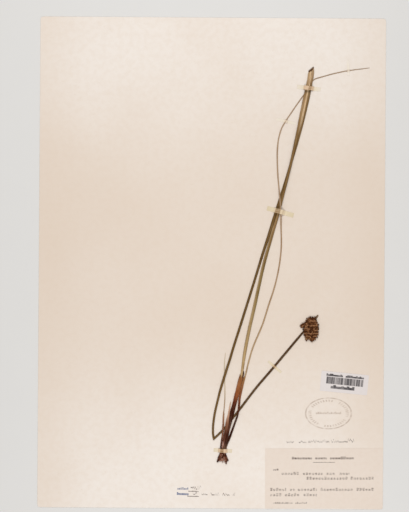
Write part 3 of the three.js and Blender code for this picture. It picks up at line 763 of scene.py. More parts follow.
# The slender culm and the young shoot: a thin pale stem without flowers that bows to the left, goes over the
# culm's two legs and under them again, and ends as a thread, and a short shoot no thicker than straw.
SLENDER_RIDGES = {"count": 6, "depth": 0.04, "sunk": 0.16, "wander": 0.1}
OVER_BOTH_LEGS = OVER_CULM + OVER_CULM
SLENDER_CULM = [
    (26.9, -104, 0.14, 0.8), (28.3, -98.5, 0.12, 1), (29.4, -95, 0, 1.2), (31.6, -85.5, 0, 1.3),
    (35.4, -72.1, 0, 1.3), (43.7, -51.7, 0, 1.3), (48.4, -36.4, 0, 1.3), (53.3, -21.1, 0, 1.2),
    (56.8, -5.7, 0, 1.2), (58.8, 9.5, 0, 1.2), (59.1, 20, 0, 1.2), (58.8, 29, 0.1, 1.2),
    (58.6, 35.5, 1.1, 1.2), (58.4, 42, OVER_BOTH_LEGS, 1.1), (57.7, 52, OVER_BOTH_LEGS, 1.1),
    (57.1, 59.5, 1.1, 1.1), (56.5, 66.5, 0.1, 1.1), (55.8, 74, 0, 1.2), (55.1, 91, 0, 1.2),
    (55.4, 99.7, 0, 1.2), (56.4, 107, 0, 1.1), (58.7, 114.8, 0, 1.1), (62.6, 121.7, 0, 1),
    (67.2, 128.7, 0, 1), (75.5, 140.8, 0, 0.95), (79.2, 145.9, 0, 0.9), (82.3, 151.2, 0, 0.9),
    (84.5, 154.9, 0, 0.9), (86.4, 156.7, 0, 0.9), (89, 157.7, 0, 0.9), (92.4, 158.7, 0, 0.9),
    (99.2, 160.7, 0, 0.9), (106, 162.4, 0, 0.85), (112.7, 163.8, 0, 0.8), (119.5, 164.9, 0, 0.7),
    (126.3, 165.8, 0, 0.6), (133.1, 166.7, 0, 0.35),
]
YOUNG_SHOOT = [
    (10.9, -131, 0.12, 0.6), (11.25, -126, 0.1, 0.75), (11.9, -117, 0, 0.9), (12, -107, 0, 0.85),
    (11.7, -99, 0, 0.8), (11.4, -91, 0, 0.75), (11.5, -84, 0, 0.65), (12.3, -76.3, 0, 0.3),
]
SLENDER_TONES = [(-95, (186, 156, 118)), (-60, (180, 150, 114)), (0, (174, 142, 110)), (90, (178, 150, 122)),
                 (167, (166, 140, 114))]
SHOOT_TONES = [(-125, (170, 136, 104)), (-105, (214, 196, 166)), (-76, (206, 188, 158))]

slender = pressed_stem("pale_slender_culm", SLENDER_CULM, SLENDER_TONES, SLENDER_THICKNESS, 0.6 * MM,
                       SLENDER_RIDGES, sides=22, seed=11, tip=0.6)
stand_for(slender, "slender_culm", "pale_culm",
          dried_skin("pale_culm_skin", 0.66, 0.1, streaky=0.5, flecked=0.35, blotched=0.3, relief=0.015 * MM))
shoot = pressed_stem("straw_shoot", YOUNG_SHOOT, SHOOT_TONES, SHOOT_THICKNESS, 0.5 * MM, SLENDER_RIDGES,
                     sides=20, seed=17, tip=0.6)
stand_for(shoot, "young_shoot", "pale_shoot",
          dried_skin("straw_skin", 0.66, 0.12, streaky=0.4, flecked=0.25, blotched=0.2, relief=0.012 * MM))


# The sheaths: thin, veined leaf bases that wrap each stem from the rhizome up. Each is a tube with an open,
# slanting mouth, one edge lapped over the other, red-brown to maroon and paler at its papery margin.
SHEATH_VEINS = {"depth": 0.035 * MM, "lap": 0.07 * MM}
SHEATH_STEP = 0.5 * MM
SHEATH_SIDES, SHEATH_SQUARE = 56, 0.66
SHEATH_MARGIN = (188, 146, 100)
SHEATHS = {
    "culm_sheath": {
        "route": [
            (11.35, -158.2, 0, 1.3), (12.4, -153.5, 0, 1.7), (14.2, -147.5, 0, 2.2),
            (15.15, -142.5, 0.15, 2.1), (16.5, -137, OVER_CULM, 2.1), (17.5, -131.5, OVER_CULM, 3.1),
            (17.85, -129.3, OVER_CULM, 3.4), (18.65, -125.3, 0.3, 3.8), (19.8, -121, 0, 3.5),
            (21.8, -112.9, 0, 3.8), (23.1, -107.8, 0, 3.8), (24.2, -102.7, 0, 3.7), (25.6, -97.5, 0, 3.6),
            (26.3, -94.8, 0, 3.3)],
        "thickness": (1.1, 1.5), "wall": 0.13, "depth": 9, "slant": 3.4, "lean": -1, "lap_at": -0.2,
        "veins": 13,
        "tones": [
            (-158, (120, 84, 66)), (-153, (62, 26, 14)), (-146, (66, 28, 14)), (-142, (90, 48, 32)),
            (-136, (60, 20, 4)), (-125, (62, 20, 2)), (-118, (92, 38, 16)), (-112, (142, 78, 40)),
            (-103, (150, 92, 48)), (-97, (136, 84, 42)), (-94, (92, 50, 24))],
        "slot": "red_brown_sheath", "seed": 23},
    "slender_sheath": {
        "route": [
            (12.75, -158.2, 0, 1.4), (13.95, -154, 0, 1.7), (15.95, -149, 0, 2), (18.5, -142, 0, 1.75),
            (20.9, -135.2, 0, 1.6), (22.6, -130, 0.75, 1.6), (23.5, -125.5, OVER_CULM, 1.6),
            (24.1, -120.5, 0.75, 1.8), (24.6, -114.5, 0, 1.95), (26, -107.8, 0, 1.9), (28.15, -98.5, 0, 1.95),
            (29.05, -95.35, 0, 1.6)],
        "thickness": (1.1, 0.77), "wall": 0.09, "depth": 4, "slant": 2.2, "lean": 1, "lap_at": 0.1,
        "veins": 7,
        "tones": [
            (-158, (104, 72, 54)), (-153, (54, 24, 10)), (-145, (56, 22, 8)), (-130, (62, 26, 12)),
            (-121, (98, 50, 28)), (-114, (128, 72, 40)), (-104, (142, 92, 54)), (-95, (164, 124, 80))],
        "slot": "maroon_sheath", "seed": 29},
    "shoot_sheath": {
        "route": [
            (8.7, -158.2, 0, 1.2), (9.1, -154, 0, 1.4), (9.9, -148.5, 0.15, 1.5),
            (10.3, -144.5, OVER_CULM, 1.5), (10.6, -140, OVER_CULM, 1.5), (10.8, -135.5, 0.2, 1.5),
            (10.9, -131, 0, 1.4), (11.3, -125.65, 0, 1.1)],
        "thickness": (1.1, 0.6), "wall": 0.08, "depth": 3, "slant": 2.6, "lean": -1, "lap_at": 0.15,
        "veins": 7,
        "tones": [
            (-158, (58, 24, 10)), (-150, (92, 50, 34)), (-146, (136, 92, 70)), (-138, (124, 78, 54)),
            (-126, (172, 128, 94))],
        "slot": "maroon_sheath", "seed": 31},
    "outer_sheath": {
        "route": [
            (10, -158.2, 0, 1.25), (10.85, -153.5, 0, 1.6), (12, -147.5, 0.1, 2.2), (12.9, -143, 0.8, 2.5),
            (13.5, -140.3, OVER_CULM, 2.7), (14.05, -137, OVER_CULM, 2.9), (14.4, -134.6, OVER_CULM, 2.7),
            (14.75, -132.2, 0.5, 2.3), (15.2, -130, 0, 2), (15.7, -126.5, 0, 1.5), (16.2, -122.5, 0, 1.2),
            (16.8, -119, 0, 0.8), (17.1, -117, 0, 0.35)],
        "thickness": (0.95, 0.4), "wall": 0.07, "depth": 2, "slant": 2.4, "lean": 1, "lap_at": -0.1,
        "veins": 9,
        "tones": [
            (-158, (122, 82, 66)), (-154, (172, 130, 114)), (-151, (92, 50, 34)), (-145, (90, 48, 30)),
            (-136, (132, 84, 60)), (-130, (190, 146, 120)), (-124, (204, 164, 138)), (-117, (214, 186, 158))],
        "slot": "thin_sheath", "seed": 37},
}
BRISTLE = [(26.5, -99.5, 0.5, 1.2), (27.15, -96.5, 0.5, 1.2), (27.6, -94.3, 0.4, 1.1),
           (27.85, -92.8, 0.35, 0.8), (27.85, -91.7, 0.3, 0.25)]
BRISTLE_TONES = [(-99, (120, 66, 34)), (-95, (84, 42, 20)), (-93.5, (44, 18, 6))]
BRISTLE_THICKNESS = 0.9


def wrapped_sheath(name, route, thickness, wall, depth, slant, lean, lap_at, veins, tones, seed):
    """An open tube round a stem: its outside up to a slanting mouth, its inside back down, and one edge
    lapped over the other. Its margin at the mouth is papery, and its hollow is painted dark as shade."""
    inside_rings, margin_width, margin_share, painted_hollow_shade, inside_grain = 12, 1.6 * MM, 0.45, 0.55, 7 * MM
    edge_wave, lap_wave, crumple_wave, crumple_depth = 3 * MM, 14 * MM, 1.7 * MM, 0.03 * MM
    ragged = 0.25 * MM * np.sin(9 * pressed_section(SHEATH_SIDES, SHEATH_SQUARE)[0] + seed)
    places, along = smooth_route(route, SHEATH_STEP)
    side, _ = bearings(places)
    across, up, above = pressed_section(SHEATH_SIDES, SHEATH_SQUARE)
    mouth = along[-1] - slant * MM * (0.5 + 0.5 * lean * across) + ragged
    outside = np.linspace(0, 1, len(places))[:, None] * mouth[None]
    inside = mouth[None] - np.linspace(0, 1, inside_rings)[:, None] ** 1.4 * depth * MM
    spots = np.vstack([outside, inside])
    skins = np.concatenate([np.zeros(len(outside)), np.full(len(inside), wall * MM)])[:, None]

    def at_spots(line):
        return np.interp(spots, along, line)

    tall = at_spots(np.interp(along, [0, along[-1]], thickness) * MM)
    uneven = 1 - 0.05 * (0.5 + 0.5 * at_spots(wander(along, edge_wave, seed)))
    offset = across * (at_spots(places[:, 3]) / 2 * uneven - skins)
    above = above & (skins == 0)
    ribs = 0.5 + 0.5 * np.cos(veins * math.pi * (across + 0.05 * np.sin(spots / (9 * MM) + seed)))
    edge = lap_at + 0.12 * at_spots(wander(along, lap_wave, seed + 1))
    lapped = 1 / (1 + np.exp(-(across - edge) / 0.035))
    crumple = at_spots(wander(along, crumple_wave, seed + 2)) * crumple_depth
    z = SHEET_TOP + np.maximum(at_spots(places[:, 2]), AIR * MM) + skins + up * (tall - 2 * skins)
    z -= above * (SHEATH_VEINS["depth"] * ribs + SHEATH_VEINS["lap"] * lapped + np.abs(crumple))
    x, y = (at_spots(places[:, i]) + at_spots(side[:, i]) * offset for i in (0, 1))
    grain = np.stack([spots, offset, np.where(above, 0.0, inside_grain)], axis=2)
    margin = np.clip(1 - (mouth[None] - spots) / margin_width, 0, 1).ravel()[:, None] * margin_share
    tones = toned(tones, y.ravel()) * (1 - margin) + np.array(ink(*SHEATH_MARGIN)) * margin
    # painted shade inside the sheath's hollow
    hollow = np.repeat(skins[:, 0] > 0, SHEATH_SIDES)[:, None]
    tones = np.where(hollow, tones * painted_hollow_shade, tones)
    return closed_tube(name, np.stack([x, y, z], axis=2), grain, tones, 60)


sheath_skins = {
    "red_brown_sheath": dried_skin("red_brown_skin", 0.58, 0.06, streaky=0.6, flecked=0.4, blotched=0.55,
                                   relief=0.02 * MM),
    "maroon_sheath": dried_skin("maroon_skin", 0.56, 0.06, streaky=0.5, flecked=0.3, blotched=0.4,
                                relief=0.016 * MM),
    "thin_sheath": dried_skin("papery_skin", 0.6, 0.08, streaky=0.6, flecked=0.3, blotched=0.5,
                              relief=0.016 * MM),
}
for node, facts in SHEATHS.items():
    slot = facts.pop("slot")
    piece = wrapped_sheath("veined_" + node, **facts)
    if node == "culm_sheath":
        bristle = pressed_stem("sheath_bristle", BRISTLE, BRISTLE_TONES, BRISTLE_THICKNESS, 0.2 * MM,
                               SLENDER_RIDGES, sides=14, tip=0.4)
        piece = joined("veined_culm_sheath", [piece, bristle])
    stand_for(piece, node, slot, sheath_skins[slot])


# The rootstock: a short knot of rhizome with the stubs of its cut roots, wrinkled, dark and earthy, with
# paler cut ends. It grew as one piece, so its parts are run together into one skin.
ROOT_VOXEL = 0.13 * MM
ROOT_RIDGES = {"count": 5, "depth": 0.12, "sunk": 0.12, "wander": 0.12}
# Each part of the knot is its thickness and its route
ROOT_PARTS = [
    (1.9, [(10.6, -158.5, 0, 4.7), (10.4, -161.2, 0, 5), (10.2, -164, 0, 6.2), (10.2, -166.5, 0, 7)]),
    (1.7, [(9.1, -161.5, 0, 2.4), (7.7, -164.8, 0, 2.6), (5.9, -169.4, 0, 1.8)]),
    (1.6, [(9.2, -163.5, 0.2, 2.4), (8.6, -166.9, 0.1, 2.6), (8, -168.7, 0, 1.8)]),
    (2.2, [(10.2, -163, 0.2, 2.6), (10.3, -166.6, 0.2, 3), (10.2, -168.4, 0, 2.2)]),
    (1.8, [(11.9, -161.5, 0, 2.2), (13.4, -165, 0, 2.2), (15.2, -168.3, 0, 1.5)]),
    (2.1, [(11.6, -163.5, 0.2, 2), (13, -167.4, 0.1, 2.3), (13.6, -171, 0, 1.5)]),
]
# The wrinkles, as the length of their waves, the share of the depth and a seed
ROOT_WRINKLES = [(1.3 * MM, 0.7, 51), (0.55 * MM, 0.5, 52), (0.3 * MM, 0.3, 53)]
ROOT_WRINKLE_DEPTH = 0.22 * MM
ROOTLETS = {"count": 40, "thickness": 0.26, "width": 0.34, "x": (7, 13.8), "y": (-168.4, -163),
            "turn": (-150, -30), "length": (1.6, 3.6), "height": (0.9, 1.9), "bend": (-0.5, 0.5)}
ROOTLET_BOUNDS = {"left": 5.5, "right": 15.6, "foot": -169.9}
ROOT_BROWN, ROOT_DARK, ROOT_PALE = (116, 70, 50), (62, 30, 16), (176, 134, 114)
ROOT_TONES = [(-160, ROOT_BROWN)]
ROOT_MIDDLE = 10.2
# Bare wood shows more and more down the sheet and less and less aside from its middle, each as where that
# starts and stops, and what it adds at each
BARE_MIDDLE = 10.3 * MM
BARE_DOWN = (-162 * MM, -168 * MM, -0.02, 0.16)
BARE_ASIDE = (1.2 * MM, 3.4 * MM, 0.05, -0.2)


def grown_together(piece, voxel):
    """The piece's parts run together into one closed skin."""
    remesh = piece.modifiers.new("skin", "REMESH")
    remesh.mode = "VOXEL"
    remesh.voxel_size = voxel
    shape = piece.evaluated_get(bpy.context.evaluated_depsgraph_get())
    mesh = bpy.data.meshes.new_from_object(shape)
    piece.modifiers.clear()
    old, piece.data = piece.data, mesh
    bpy.data.meshes.remove(old)
    piece.data.shade_smooth()
    return piece


def wrinkled(piece, waves, depth, low):
    """The skin drawn in by a fine random pattern, and kept above a height."""
    mesh = piece.data
    points, normals = np.zeros((2, len(mesh.vertices) * 3))
    mesh.vertices.foreach_get("co", points)
    mesh.vertex_normals.foreach_get("vector", normals)
    points, normals = points.reshape(-1, 3), normals.reshape(-1, 3)
    for wave, share, seed in waves:
        relief = soft_noise(points[:, 0] + 0.7 * points[:, 2], points[:, 1] - 0.5 * points[:, 2], wave, seed)
        points = points - normals * (relief * share * depth)[:, None]
    points[:, 2] = np.maximum(points[:, 2], low)
    mesh.vertices.foreach_set("co", points.ravel())
    mesh.update()


def root_skin():
    """Brown and dark earthy patches, and paler bare wood towards the cut ends."""
    material, shader = new_finish("root_skin", 0.85, 0.06)
    place = place_in(shader)
    across, up, _ = axes_of(place)
    grit = cloud(place, 3200.0, 3.0)
    bare = calc("ADD", cloud(place, 610.0, 2.0), fade(up, *BARE_DOWN))
    aside = calc("ABSOLUTE", calc("SUBTRACT", across, BARE_MIDDLE))
    bare = calc("ADD", bare, fade(aside, *BARE_ASIDE))
    colour = coated(ROOT_DARK, (fade(cloud(place, 420.0, 4.0), 0.38, 0.6), ROOT_BROWN),
                    (fade(bare, 0.5, 0.66, 0.0, 0.85), ROOT_PALE),
                    (fade(grit, 0.35, 0.6, 0.55, 0.0), ROOT_DARK))
    join(fade(grit, 0.3, 0.7, 0.72, 0.95), shader, "Roughness")
    lay(shader, colour, grit, 0.7, 0.08 * MM)
    return material


def rootlets():
    """Fine broken roots that leave the knot downwards and droop to the sheet."""
    random = np.random.default_rng(57)
    for number in range(ROOTLETS["count"]):
        x, y = random.uniform(*ROOTLETS["x"]), random.uniform(*ROOTLETS["y"])
        heading = math.radians(random.uniform(*ROOTLETS["turn"])) + 0.06 * (x - ROOT_MIDDLE)
        length, height, bend = (random.uniform(*ROOTLETS[name]) for name in ("length", "height", "bend"))
        route = []
        for part in (0, 0.35, 0.7, 1):
            turned = heading + bend * part
            spot_x = x + part * length * math.cos(turned)
            spot_y = y + part * length * math.sin(turned)
            route.append((min(max(spot_x, ROOTLET_BOUNDS["left"]), ROOTLET_BOUNDS["right"]),
                          max(spot_y, ROOTLET_BOUNDS["foot"]), height * (1 - part) ** 0.7,
                          ROOTLETS["width"] * (1 - 0.7 * part)))
        yield pressed_stem(f"rootlet_{number}", route, ROOT_TONES, ROOTLETS["thickness"], 0.3 * MM,
                           SLENDER_RIDGES, sides=8, seed=number, tip=0.5)


stubs = [pressed_stem(f"root_stub_{number}", route, ROOT_TONES, thick, 0.25 * MM, ROOT_RIDGES, sides=24,
                      seed=40 + number, tip=0.7) for number, (thick, route) in enumerate(ROOT_PARTS)]
knot = grown_together(joined("root_knot", stubs), ROOT_VOXEL)
wrinkled(knot, ROOT_WRINKLES, ROOT_WRINKLE_DEPTH, SHEET_TOP + AIR * MM)
stand_for(joined("knotted_rootstock", [knot, *rootlets()]), "rootstock", "dry_root", root_skin())


# The flower head and its bract: a dense knot of small dry flowers on short branches, pressed flat. Each has
# six pointed, straw-edged tepals round a glossy brown capsule. The bract looks like more stem beyond it.
HEAD_FLATNESS = 0.72
# Rows of flowers across the head, as y, height, left and right end of the row, number, and share that is pale
FLOWER_ROWS = [
    (-46.6, 1.9, 82.4, 88.8, 5, 0.2), (-47.8, 2.5, 81.4, 89.2, 6, 0.15), (-48.8, 2.9, 80.6, 89.6, 7, 0.75),
    (-50, 2.9, 80, 89.8, 7, 0.1), (-51.2, 3, 79.4, 90.4, 8, 0.15), (-52.6, 3.4, 78.6, 90.8, 8, 0.75),
    (-53.9, 3.2, 78.4, 91.2, 8, 0.1), (-55.3, 3.5, 78.2, 91.4, 8, 0.6), (-56.6, 3.2, 78.1, 91.2, 8, 0.1),
    (-57.9, 3.2, 78.2, 91, 8, 0.15), (-59.2, 3.3, 78.6, 90.8, 8, 0.55), (-60.4, 3, 79, 90.4, 7, 0.1),
    (-61.5, 2.9, 79.5, 90, 7, 0.7), (-62.8, 2.4, 80.1, 89.4, 6, 0.25), (-64, 2, 80.6, 89, 5, 0.3),
]
# Flowers round the rim, as the x and y of the tip and the way it points, and what stands at each place, as
# height, tilt and how far back it is set
RIM_FLOWERS = [
    (84, -44.9, 110), (86.2, -44.9, 85), (88.4, -45.1, 68), (89.9, -47.4, 40), (90.5, -49.6, 22),
    (91.7, -51.7, 12), (91.7, -53.8, 4), (91.7, -56, -4), (91.6, -58.2, -6), (91.2, -60.6, -16),
    (90.4, -63, -38), (88.8, -65.2, -58), (87.2, -65.9, -74), (85.7, -66.8, -84), (84.3, -66, -98),
    (82.7, -64.9, -104), (80.6, -65.9, -112), (79.8, -65, -130), (79.3, -63.1, -150), (78.4, -60.8, -170),
    (77.7, -58.4, 180), (77.5, -56.2, 192), (77.4, -54.9, 228), (76.2, -54.9, 236), (75.4, -53.4, 216),
    (76.9, -51.9, 200), (78.8, -50.2, 172), (79.8, -48.2, 158), (80.9, -46.4, 140), (82.5, -45.5, 124),
    (79.6, -53.4, 216), (80, -51.6, 196),
]
RIM_TIERS = [(1.1, 4, -0.4), (1.9, 12, 0.1), (2.5, 18, 1)]
RIM_LOOKS = {"foot": ["straw", "brown", "dark"], "sides": ["pale", "brown", "brown", "dark", "dark"]}
HEAD_FOOT = -62
# How far a flower strays from its place either way, and between which heights and tilts
STRAY = {"across": 0.35, "along": 0.25, "facing": 0.5, "turn": 24, "rim_turn": 14, "rim_tilt": 4}
ROW_LIFT, ROW_TILT, ROW_INSET = (-0.3, 0.2), (4, 24), 1.2
HEAD_CORE = {"x": 84.6, "y": -55.8, "height": 2.1, "half_width": 5.6, "half_length": 8.6, "half_height": 1.3,
             "rings": 14, "sides": 40}
# The branches' own brown, deepened to the painted shade between the flowers.
BRANCH_BROWN_AND_SHADE = (58, 28, 8)
FLOWER = {"length": 2.6 * MM, "capsule": 0.54 * MM, "tepal_width": 0.68 * MM, "tepal_thick": 0.07 * MM}
# The capsule's outline from foot to beak, as share of its radius and of its length
CAPSULE_OUTLINE = np.array([(0.3, 0.05), (0.75, 0.2), (1, 0.42), (0.95, 0.62), (0.68, 0.8), (0.28, 0.92),
                            (0.09, 1)])
CAPSULE_SIDES, TEPAL_RINGS, TEPAL_SIDES = 12, 7, 4
FLOWER_LOOKS = {
    "pale": {"tepal": (132, 88, 54), "edge": (178, 130, 94), "capsule": (138, 94, 60)},
    "brown": {"tepal": (98, 56, 26), "edge": (130, 84, 50), "capsule": (102, 56, 26)},
    "dark": {"tepal": (70, 32, 6), "edge": (96, 54, 26), "capsule": (72, 34, 8)},
    "straw": {"tepal": (144, 108, 72), "edge": (196, 156, 116), "capsule": (132, 94, 58)},
}
BRACT = [
    (78.6, -57.8, 0.04, 1), (80.6, -55.7, 0.04, 1.2), (84.4, -51.7, 0, 1.5), (88, -47.4, 0, 1.6),
    (89.8, -45.1, 0, 1.6), (90.7, -43.8, 0, 1.2),
]
BRACT_TONES = [(-58, (74, 50, 30)), (-48, (112, 86, 62)), (-43, (126, 100, 74))]
BRACT_THICKNESS = 0.6


def capsule_shape(radius, length):
    """A three-sided capsule with a short beak, its foot at the origin, up the z axis."""
    angle = np.linspace(0, 2 * math.pi, CAPSULE_SIDES, endpoint=False)
    lobes = 1 - 0.13 * (0.5 - 0.5 * np.cos(3 * angle))
    x, y = (CAPSULE_OUTLINE[:, :1] * radius * line * lobes for line in (np.cos(angle), np.sin(angle)))
    z = np.broadcast_to(CAPSULE_OUTLINE[:, 1:] * length, x.shape)
    rings = np.stack([x, y, z], axis=2)
    return (np.vstack([rings.reshape(-1, 3), [0, 0, 0], [0, 0, length * 1.03]]),
            tube_faces(len(CAPSULE_OUTLINE), CAPSULE_SIDES))


def tepal_shape(turn, spread, width, length):
    """A narrow pointed tepal: four-sided, with a raised midrib, cupped outwards from the flower's foot."""
    t = np.linspace(0, 1, TEPAL_RINGS)[:, None]
    out = (0.18 + 0.62 * np.sin(math.pi * (0.12 + 0.6 * t)) + spread * t ** 2) * FLOWER["capsule"] * 1.35
    wide = width / 2 * np.sin(math.pi * (0.16 + 0.84 * t) ** 0.9) ** 0.8 + 0.01 * MM
    sides = np.array([-1, 0, 1, 0])
    thick = FLOWER["tepal_thick"] * np.array([0.1, 1, 0.1, -0.6]) * (1.1 - t)
    outward, sideways = out + thick - 0.22 * np.abs(sides) * wide, sides * wide
    x = outward * math.cos(turn) - sideways * math.sin(turn)
    y = outward * math.sin(turn) + sideways * math.cos(turn)
    rings = np.stack([x, y, np.broadcast_to(t * length, x.shape)], axis=2)
    foot, tip = end_middles(rings)
    points = np.vstack([rings.reshape(-1, 3), foot, tip + [0, 0, 0.05 * MM]])
    return points, tube_faces(TEPAL_RINGS, TEPAL_SIDES)


def gathered(parts):
    """Several parts, each as points, faces, grain and tones, as one."""
    points, faces, grain, tones = zip(*parts)
    firsts = np.cumsum([0, *map(len, points)]).tolist()
    faces = [[first + number for number in face] for first, block in zip(firsts, faces) for face in block]
    return np.vstack(points), faces, np.vstack(grain), np.vstack(tones)


def one_flower(random, look):
    """The points, faces, grain and tones of one flower, up the z axis, in the colours of its look."""
    parts = []

    def add(shape, tones):
        points, faces = shape
        grain = np.stack([points[:, 2], np.arctan2(points[:, 1], points[:, 0]) * MM,
                          np.full(len(points), random.uniform(0, 0.1))], axis=1)
        parts.append((points, faces, grain, tones))

    tepal, margin, pod = (np.array(ink(*look[part])) for part in ("tepal", "edge", "capsule"))
    length = FLOWER["length"] * random.uniform(0.85, 1.05)
    capsule = capsule_shape(FLOWER["capsule"] * random.uniform(0.85, 1.12),
                            length * random.uniform(0.8, 0.96))
    add(capsule, np.tile(pod * random.uniform(0.75, 1.15), (len(capsule[0]), 1)))
    start, spread = random.uniform(0, 2 * math.pi), random.uniform(0.0, 0.35)
    edge = np.tile([0.8, 0.0, 0.8, 0.0], TEPAL_RINGS)[:, None]
    for i in range(6):
        inner = i % 2
        shape = tepal_shape(start + i * math.pi / 3, spread - 0.12 * inner,
                            FLOWER["tepal_width"] * (1.05 - 0.15 * inner),
                            length * random.uniform(0.82, 1.0) * (1 - 0.06 * inner))
        tones = np.vstack([tepal * (1 - edge) + margin * edge, tepal, margin])
        add(shape, tones * random.uniform(0.8, 1.2))
    return gathered(parts)


def facing_out(points, direction):
    """Points up the z axis turned to stand along a direction."""
    direction = direction / np.linalg.norm(direction)
    right = np.cross([0.0, 0.0, 1.0], direction)
    right = right / np.linalg.norm(right)
    return points @ np.stack([right, np.cross(direction, right), direction])


def flower_places(random):
    """Where each flower of the head has its middle, which way it points and tilts, and its look."""
    def stray(name):
        return random.uniform(-STRAY[name], STRAY[name])

    for y, height, left, right, count, pale in FLOWER_ROWS:
        for part in np.linspace(-1, 1, count):
            x = (left + right) / 2 + part * ((right - left) / 2 - ROW_INSET) + stray("across")
            middle = np.array([x, y + stray("along"), height + random.uniform(*ROW_LIFT)])
            turn = (0 if part + stray("facing") > 0 else 180) + stray("turn")
            look = "pale" if random.uniform() < pale else "brown" if random.uniform() < 0.5 else "dark"
            yield middle, math.radians(turn), random.uniform(*ROW_TILT), look
    for x, y, turn in RIM_FLOWERS:
        for height, tilt, back in RIM_TIERS:
            heading = math.radians(turn + stray("rim_turn"))
            reach = FLOWER["length"] / MM / 2 * math.cos(math.radians(tilt)) + back
            middle = np.array([x - reach * math.cos(heading), y - reach * math.sin(heading), height])
            look = random.choice(RIM_LOOKS["foot" if y < HEAD_FOOT else "sides"])
            yield middle, heading, tilt + stray("rim_tilt"), look


def pressed_flat(points):
    """Points of the head, from metres above the sheet, pressed flat and set down on it."""
    points[..., 2] = SHEET_TOP + np.maximum(points[..., 2] * HEAD_FLATNESS, AIR * MM)
    return points


def flower_head():
    """All the flowers of the head, pressed flat."""
    random = np.random.default_rng(61)
    flowers = []
    for middle, turn, tilt, look in flower_places(random):
        tilt = math.radians(tilt)
        out = np.array([math.cos(turn) * math.cos(tilt), math.sin(turn) * math.cos(tilt), math.sin(tilt)])
        points, *rest = one_flower(random, FLOWER_LOOKS[look])
        points = facing_out(points, out) + middle * MM - out * FLOWER["length"] / 2
        flowers.append((pressed_flat(points), *rest))
    points, faces, grain, tones = gathered(flowers)
    head = new_piece("clustered_flowers", points, faces, sharp=60)
    mark(head, grain, tones)
    return head


def branch_core():
    """The short branches in the middle of the head, matted into one mass under the flowers, their brown
    painted as dark as the shade between the flowers.
    """
    core = HEAD_CORE
    angle = np.linspace(0, 2 * math.pi, core["sides"], endpoint=False)
    rise = np.linspace(-0.46, 0.46, core["rings"])[:, None] * math.pi
    lumps = 1 + 0.12 * np.sin(5 * angle + 1) * np.cos(rise) + 0.06 * np.sin(9 * angle)
    x = core["x"] + core["half_width"] * np.cos(angle) * np.cos(rise) * lumps
    y = core["y"] + core["half_length"] * np.sin(angle) * np.cos(rise) * lumps
    z = np.broadcast_to(core["height"] + core["half_height"] * np.sin(rise), x.shape)
    rings = pressed_flat(np.stack([x, y, z], axis=2) * MM)
    tones = np.tile(ink(*BRANCH_BROWN_AND_SHADE), (x.size, 1))
    return closed_tube("matted_branches", rings, np.zeros(rings.shape), tones)


stand_for(joined("flower_cluster", [flower_head(), branch_core()]), "flower_head", "dry_flowers",
          dried_skin("dry_flower_skin", 0.6, 0.05, streaky=0.4, flecked=0.2, blotched=0.35,
                     relief=0.02 * MM, fineness=1.6))
bract = pressed_stem("stem_like_bract", BRACT, BRACT_TONES, BRACT_THICKNESS, 0.4 * MM, SLENDER_RIDGES,
                     sides=24, seed=71, tip=1.2)
stand_for(bract, "bract", "dry_culm", culm_skin)


# The straps: six narrow strips of gummed paper, wetted and pressed down over the stems. Each clings to
# what it crosses, so the stems show through as darker ridges, and its ends fade into the sheet.
STRAP_THICKNESS = 0.14
STRAP_STEP = 0.22
STRAP_COLUMNS = 13
STRAP_CREAM, STRAP_TONED = (232, 217, 188), (208, 190, 150)
STRAP_RAISED = (216, 182, 150)
STRAP_OVER_STEM = (142, 106, 62)
# "faded" is how much of the sheet's colour its ends and its middle have, "glued" how toned its ends are,
# "raised" how warm it is where it is lifted, "shows" how dark the stems named in "over" show through it, and
# "under" the distance along it and the height of what it lies on
STRAPS = {
    "strap_top": {
        "start": (71.6, 150.3), "end": (91.6, 148), "width": 3.5, "over": ["falling"],
        "faded": (0.72, 0), "glued": 0.2, "raised": 0.75, "shows": 0.75,
        "under": [(0, 0), (5, 0), (6.2, 0.95), (6.9, 1.62), (12.6, 1.62), (13.3, 1), (14.8, 0), (20.1, 0)]},
    "strap_middle": {
        "start": (46.8, 46.9), "end": (69.3, 40.8), "width": 4, "over": ["rising", "falling"],
        "faded": (0.2, 0), "glued": 0.5, "raised": 0.25, "shows": 0.85,
        "under": [(0, 0), (4.9, 0), (6.6, 0.8), (7.2, 1), (8.6, 1.05), (9.1, 1.9), (10.4, 2), (10.8, 2.5),
                  (13.3, 2.5), (13.9, 1.6), (16, 0), (23.3, 0)]},
    "strap_flower_stem": {
        "start": (48.7, -83.3), "end": (59.6, -92.7), "width": 2, "over": ["flower_stem"],
        "faded": (0.4, 0), "glued": 0.3, "raised": 0.4, "shows": 0.95,
        "under": [(0, 0), (4.4, 0), (5.3, 0.65), (5.9, 0.95), (7.7, 0.95), (8.3, 0.65), (9.2, 0), (14.4, 0)]},
    "strap_slender": {
        "start": (54.2, 122.6), "end": (71.1, 118.8), "width": 2.4, "over": ["slender"],
        "faded": (0.8, 0.5), "glued": 0.15, "raised": 0.4, "shows": 0.6,
        "under": [(0, 0), (6.3, 0), (7.6, 0.62), (9.2, 0.62), (10.5, 0), (17.3, 0)]},
    "strap_tip": {
        "start": (114.6, 173.1), "end": (115.3, 160.1), "width": 2, "over": ["slender"],
        "faded": (0.8, 0.65), "glued": 0.0, "raised": 0.3, "shows": 0.5,
        "under": [(0, 0), (7.3, 0), (8.2, 0.58), (9.7, 0.58), (10.6, 0), (13, 0)]},
    "strap_base": {
        "start": (2.7, -159), "end": (18.4, -159.9), "width": 3.2, "over": ["root"],
        "faded": (0.6, 0), "glued": 0.45, "raised": 0.75, "shows": 0.88,
        "under": [(0, 0), (3.6, 0), (4.8, 1.4), (5.6, 1.98), (9.8, 1.98), (10.8, 1.4), (12, 0), (15.76, 0)]},
}
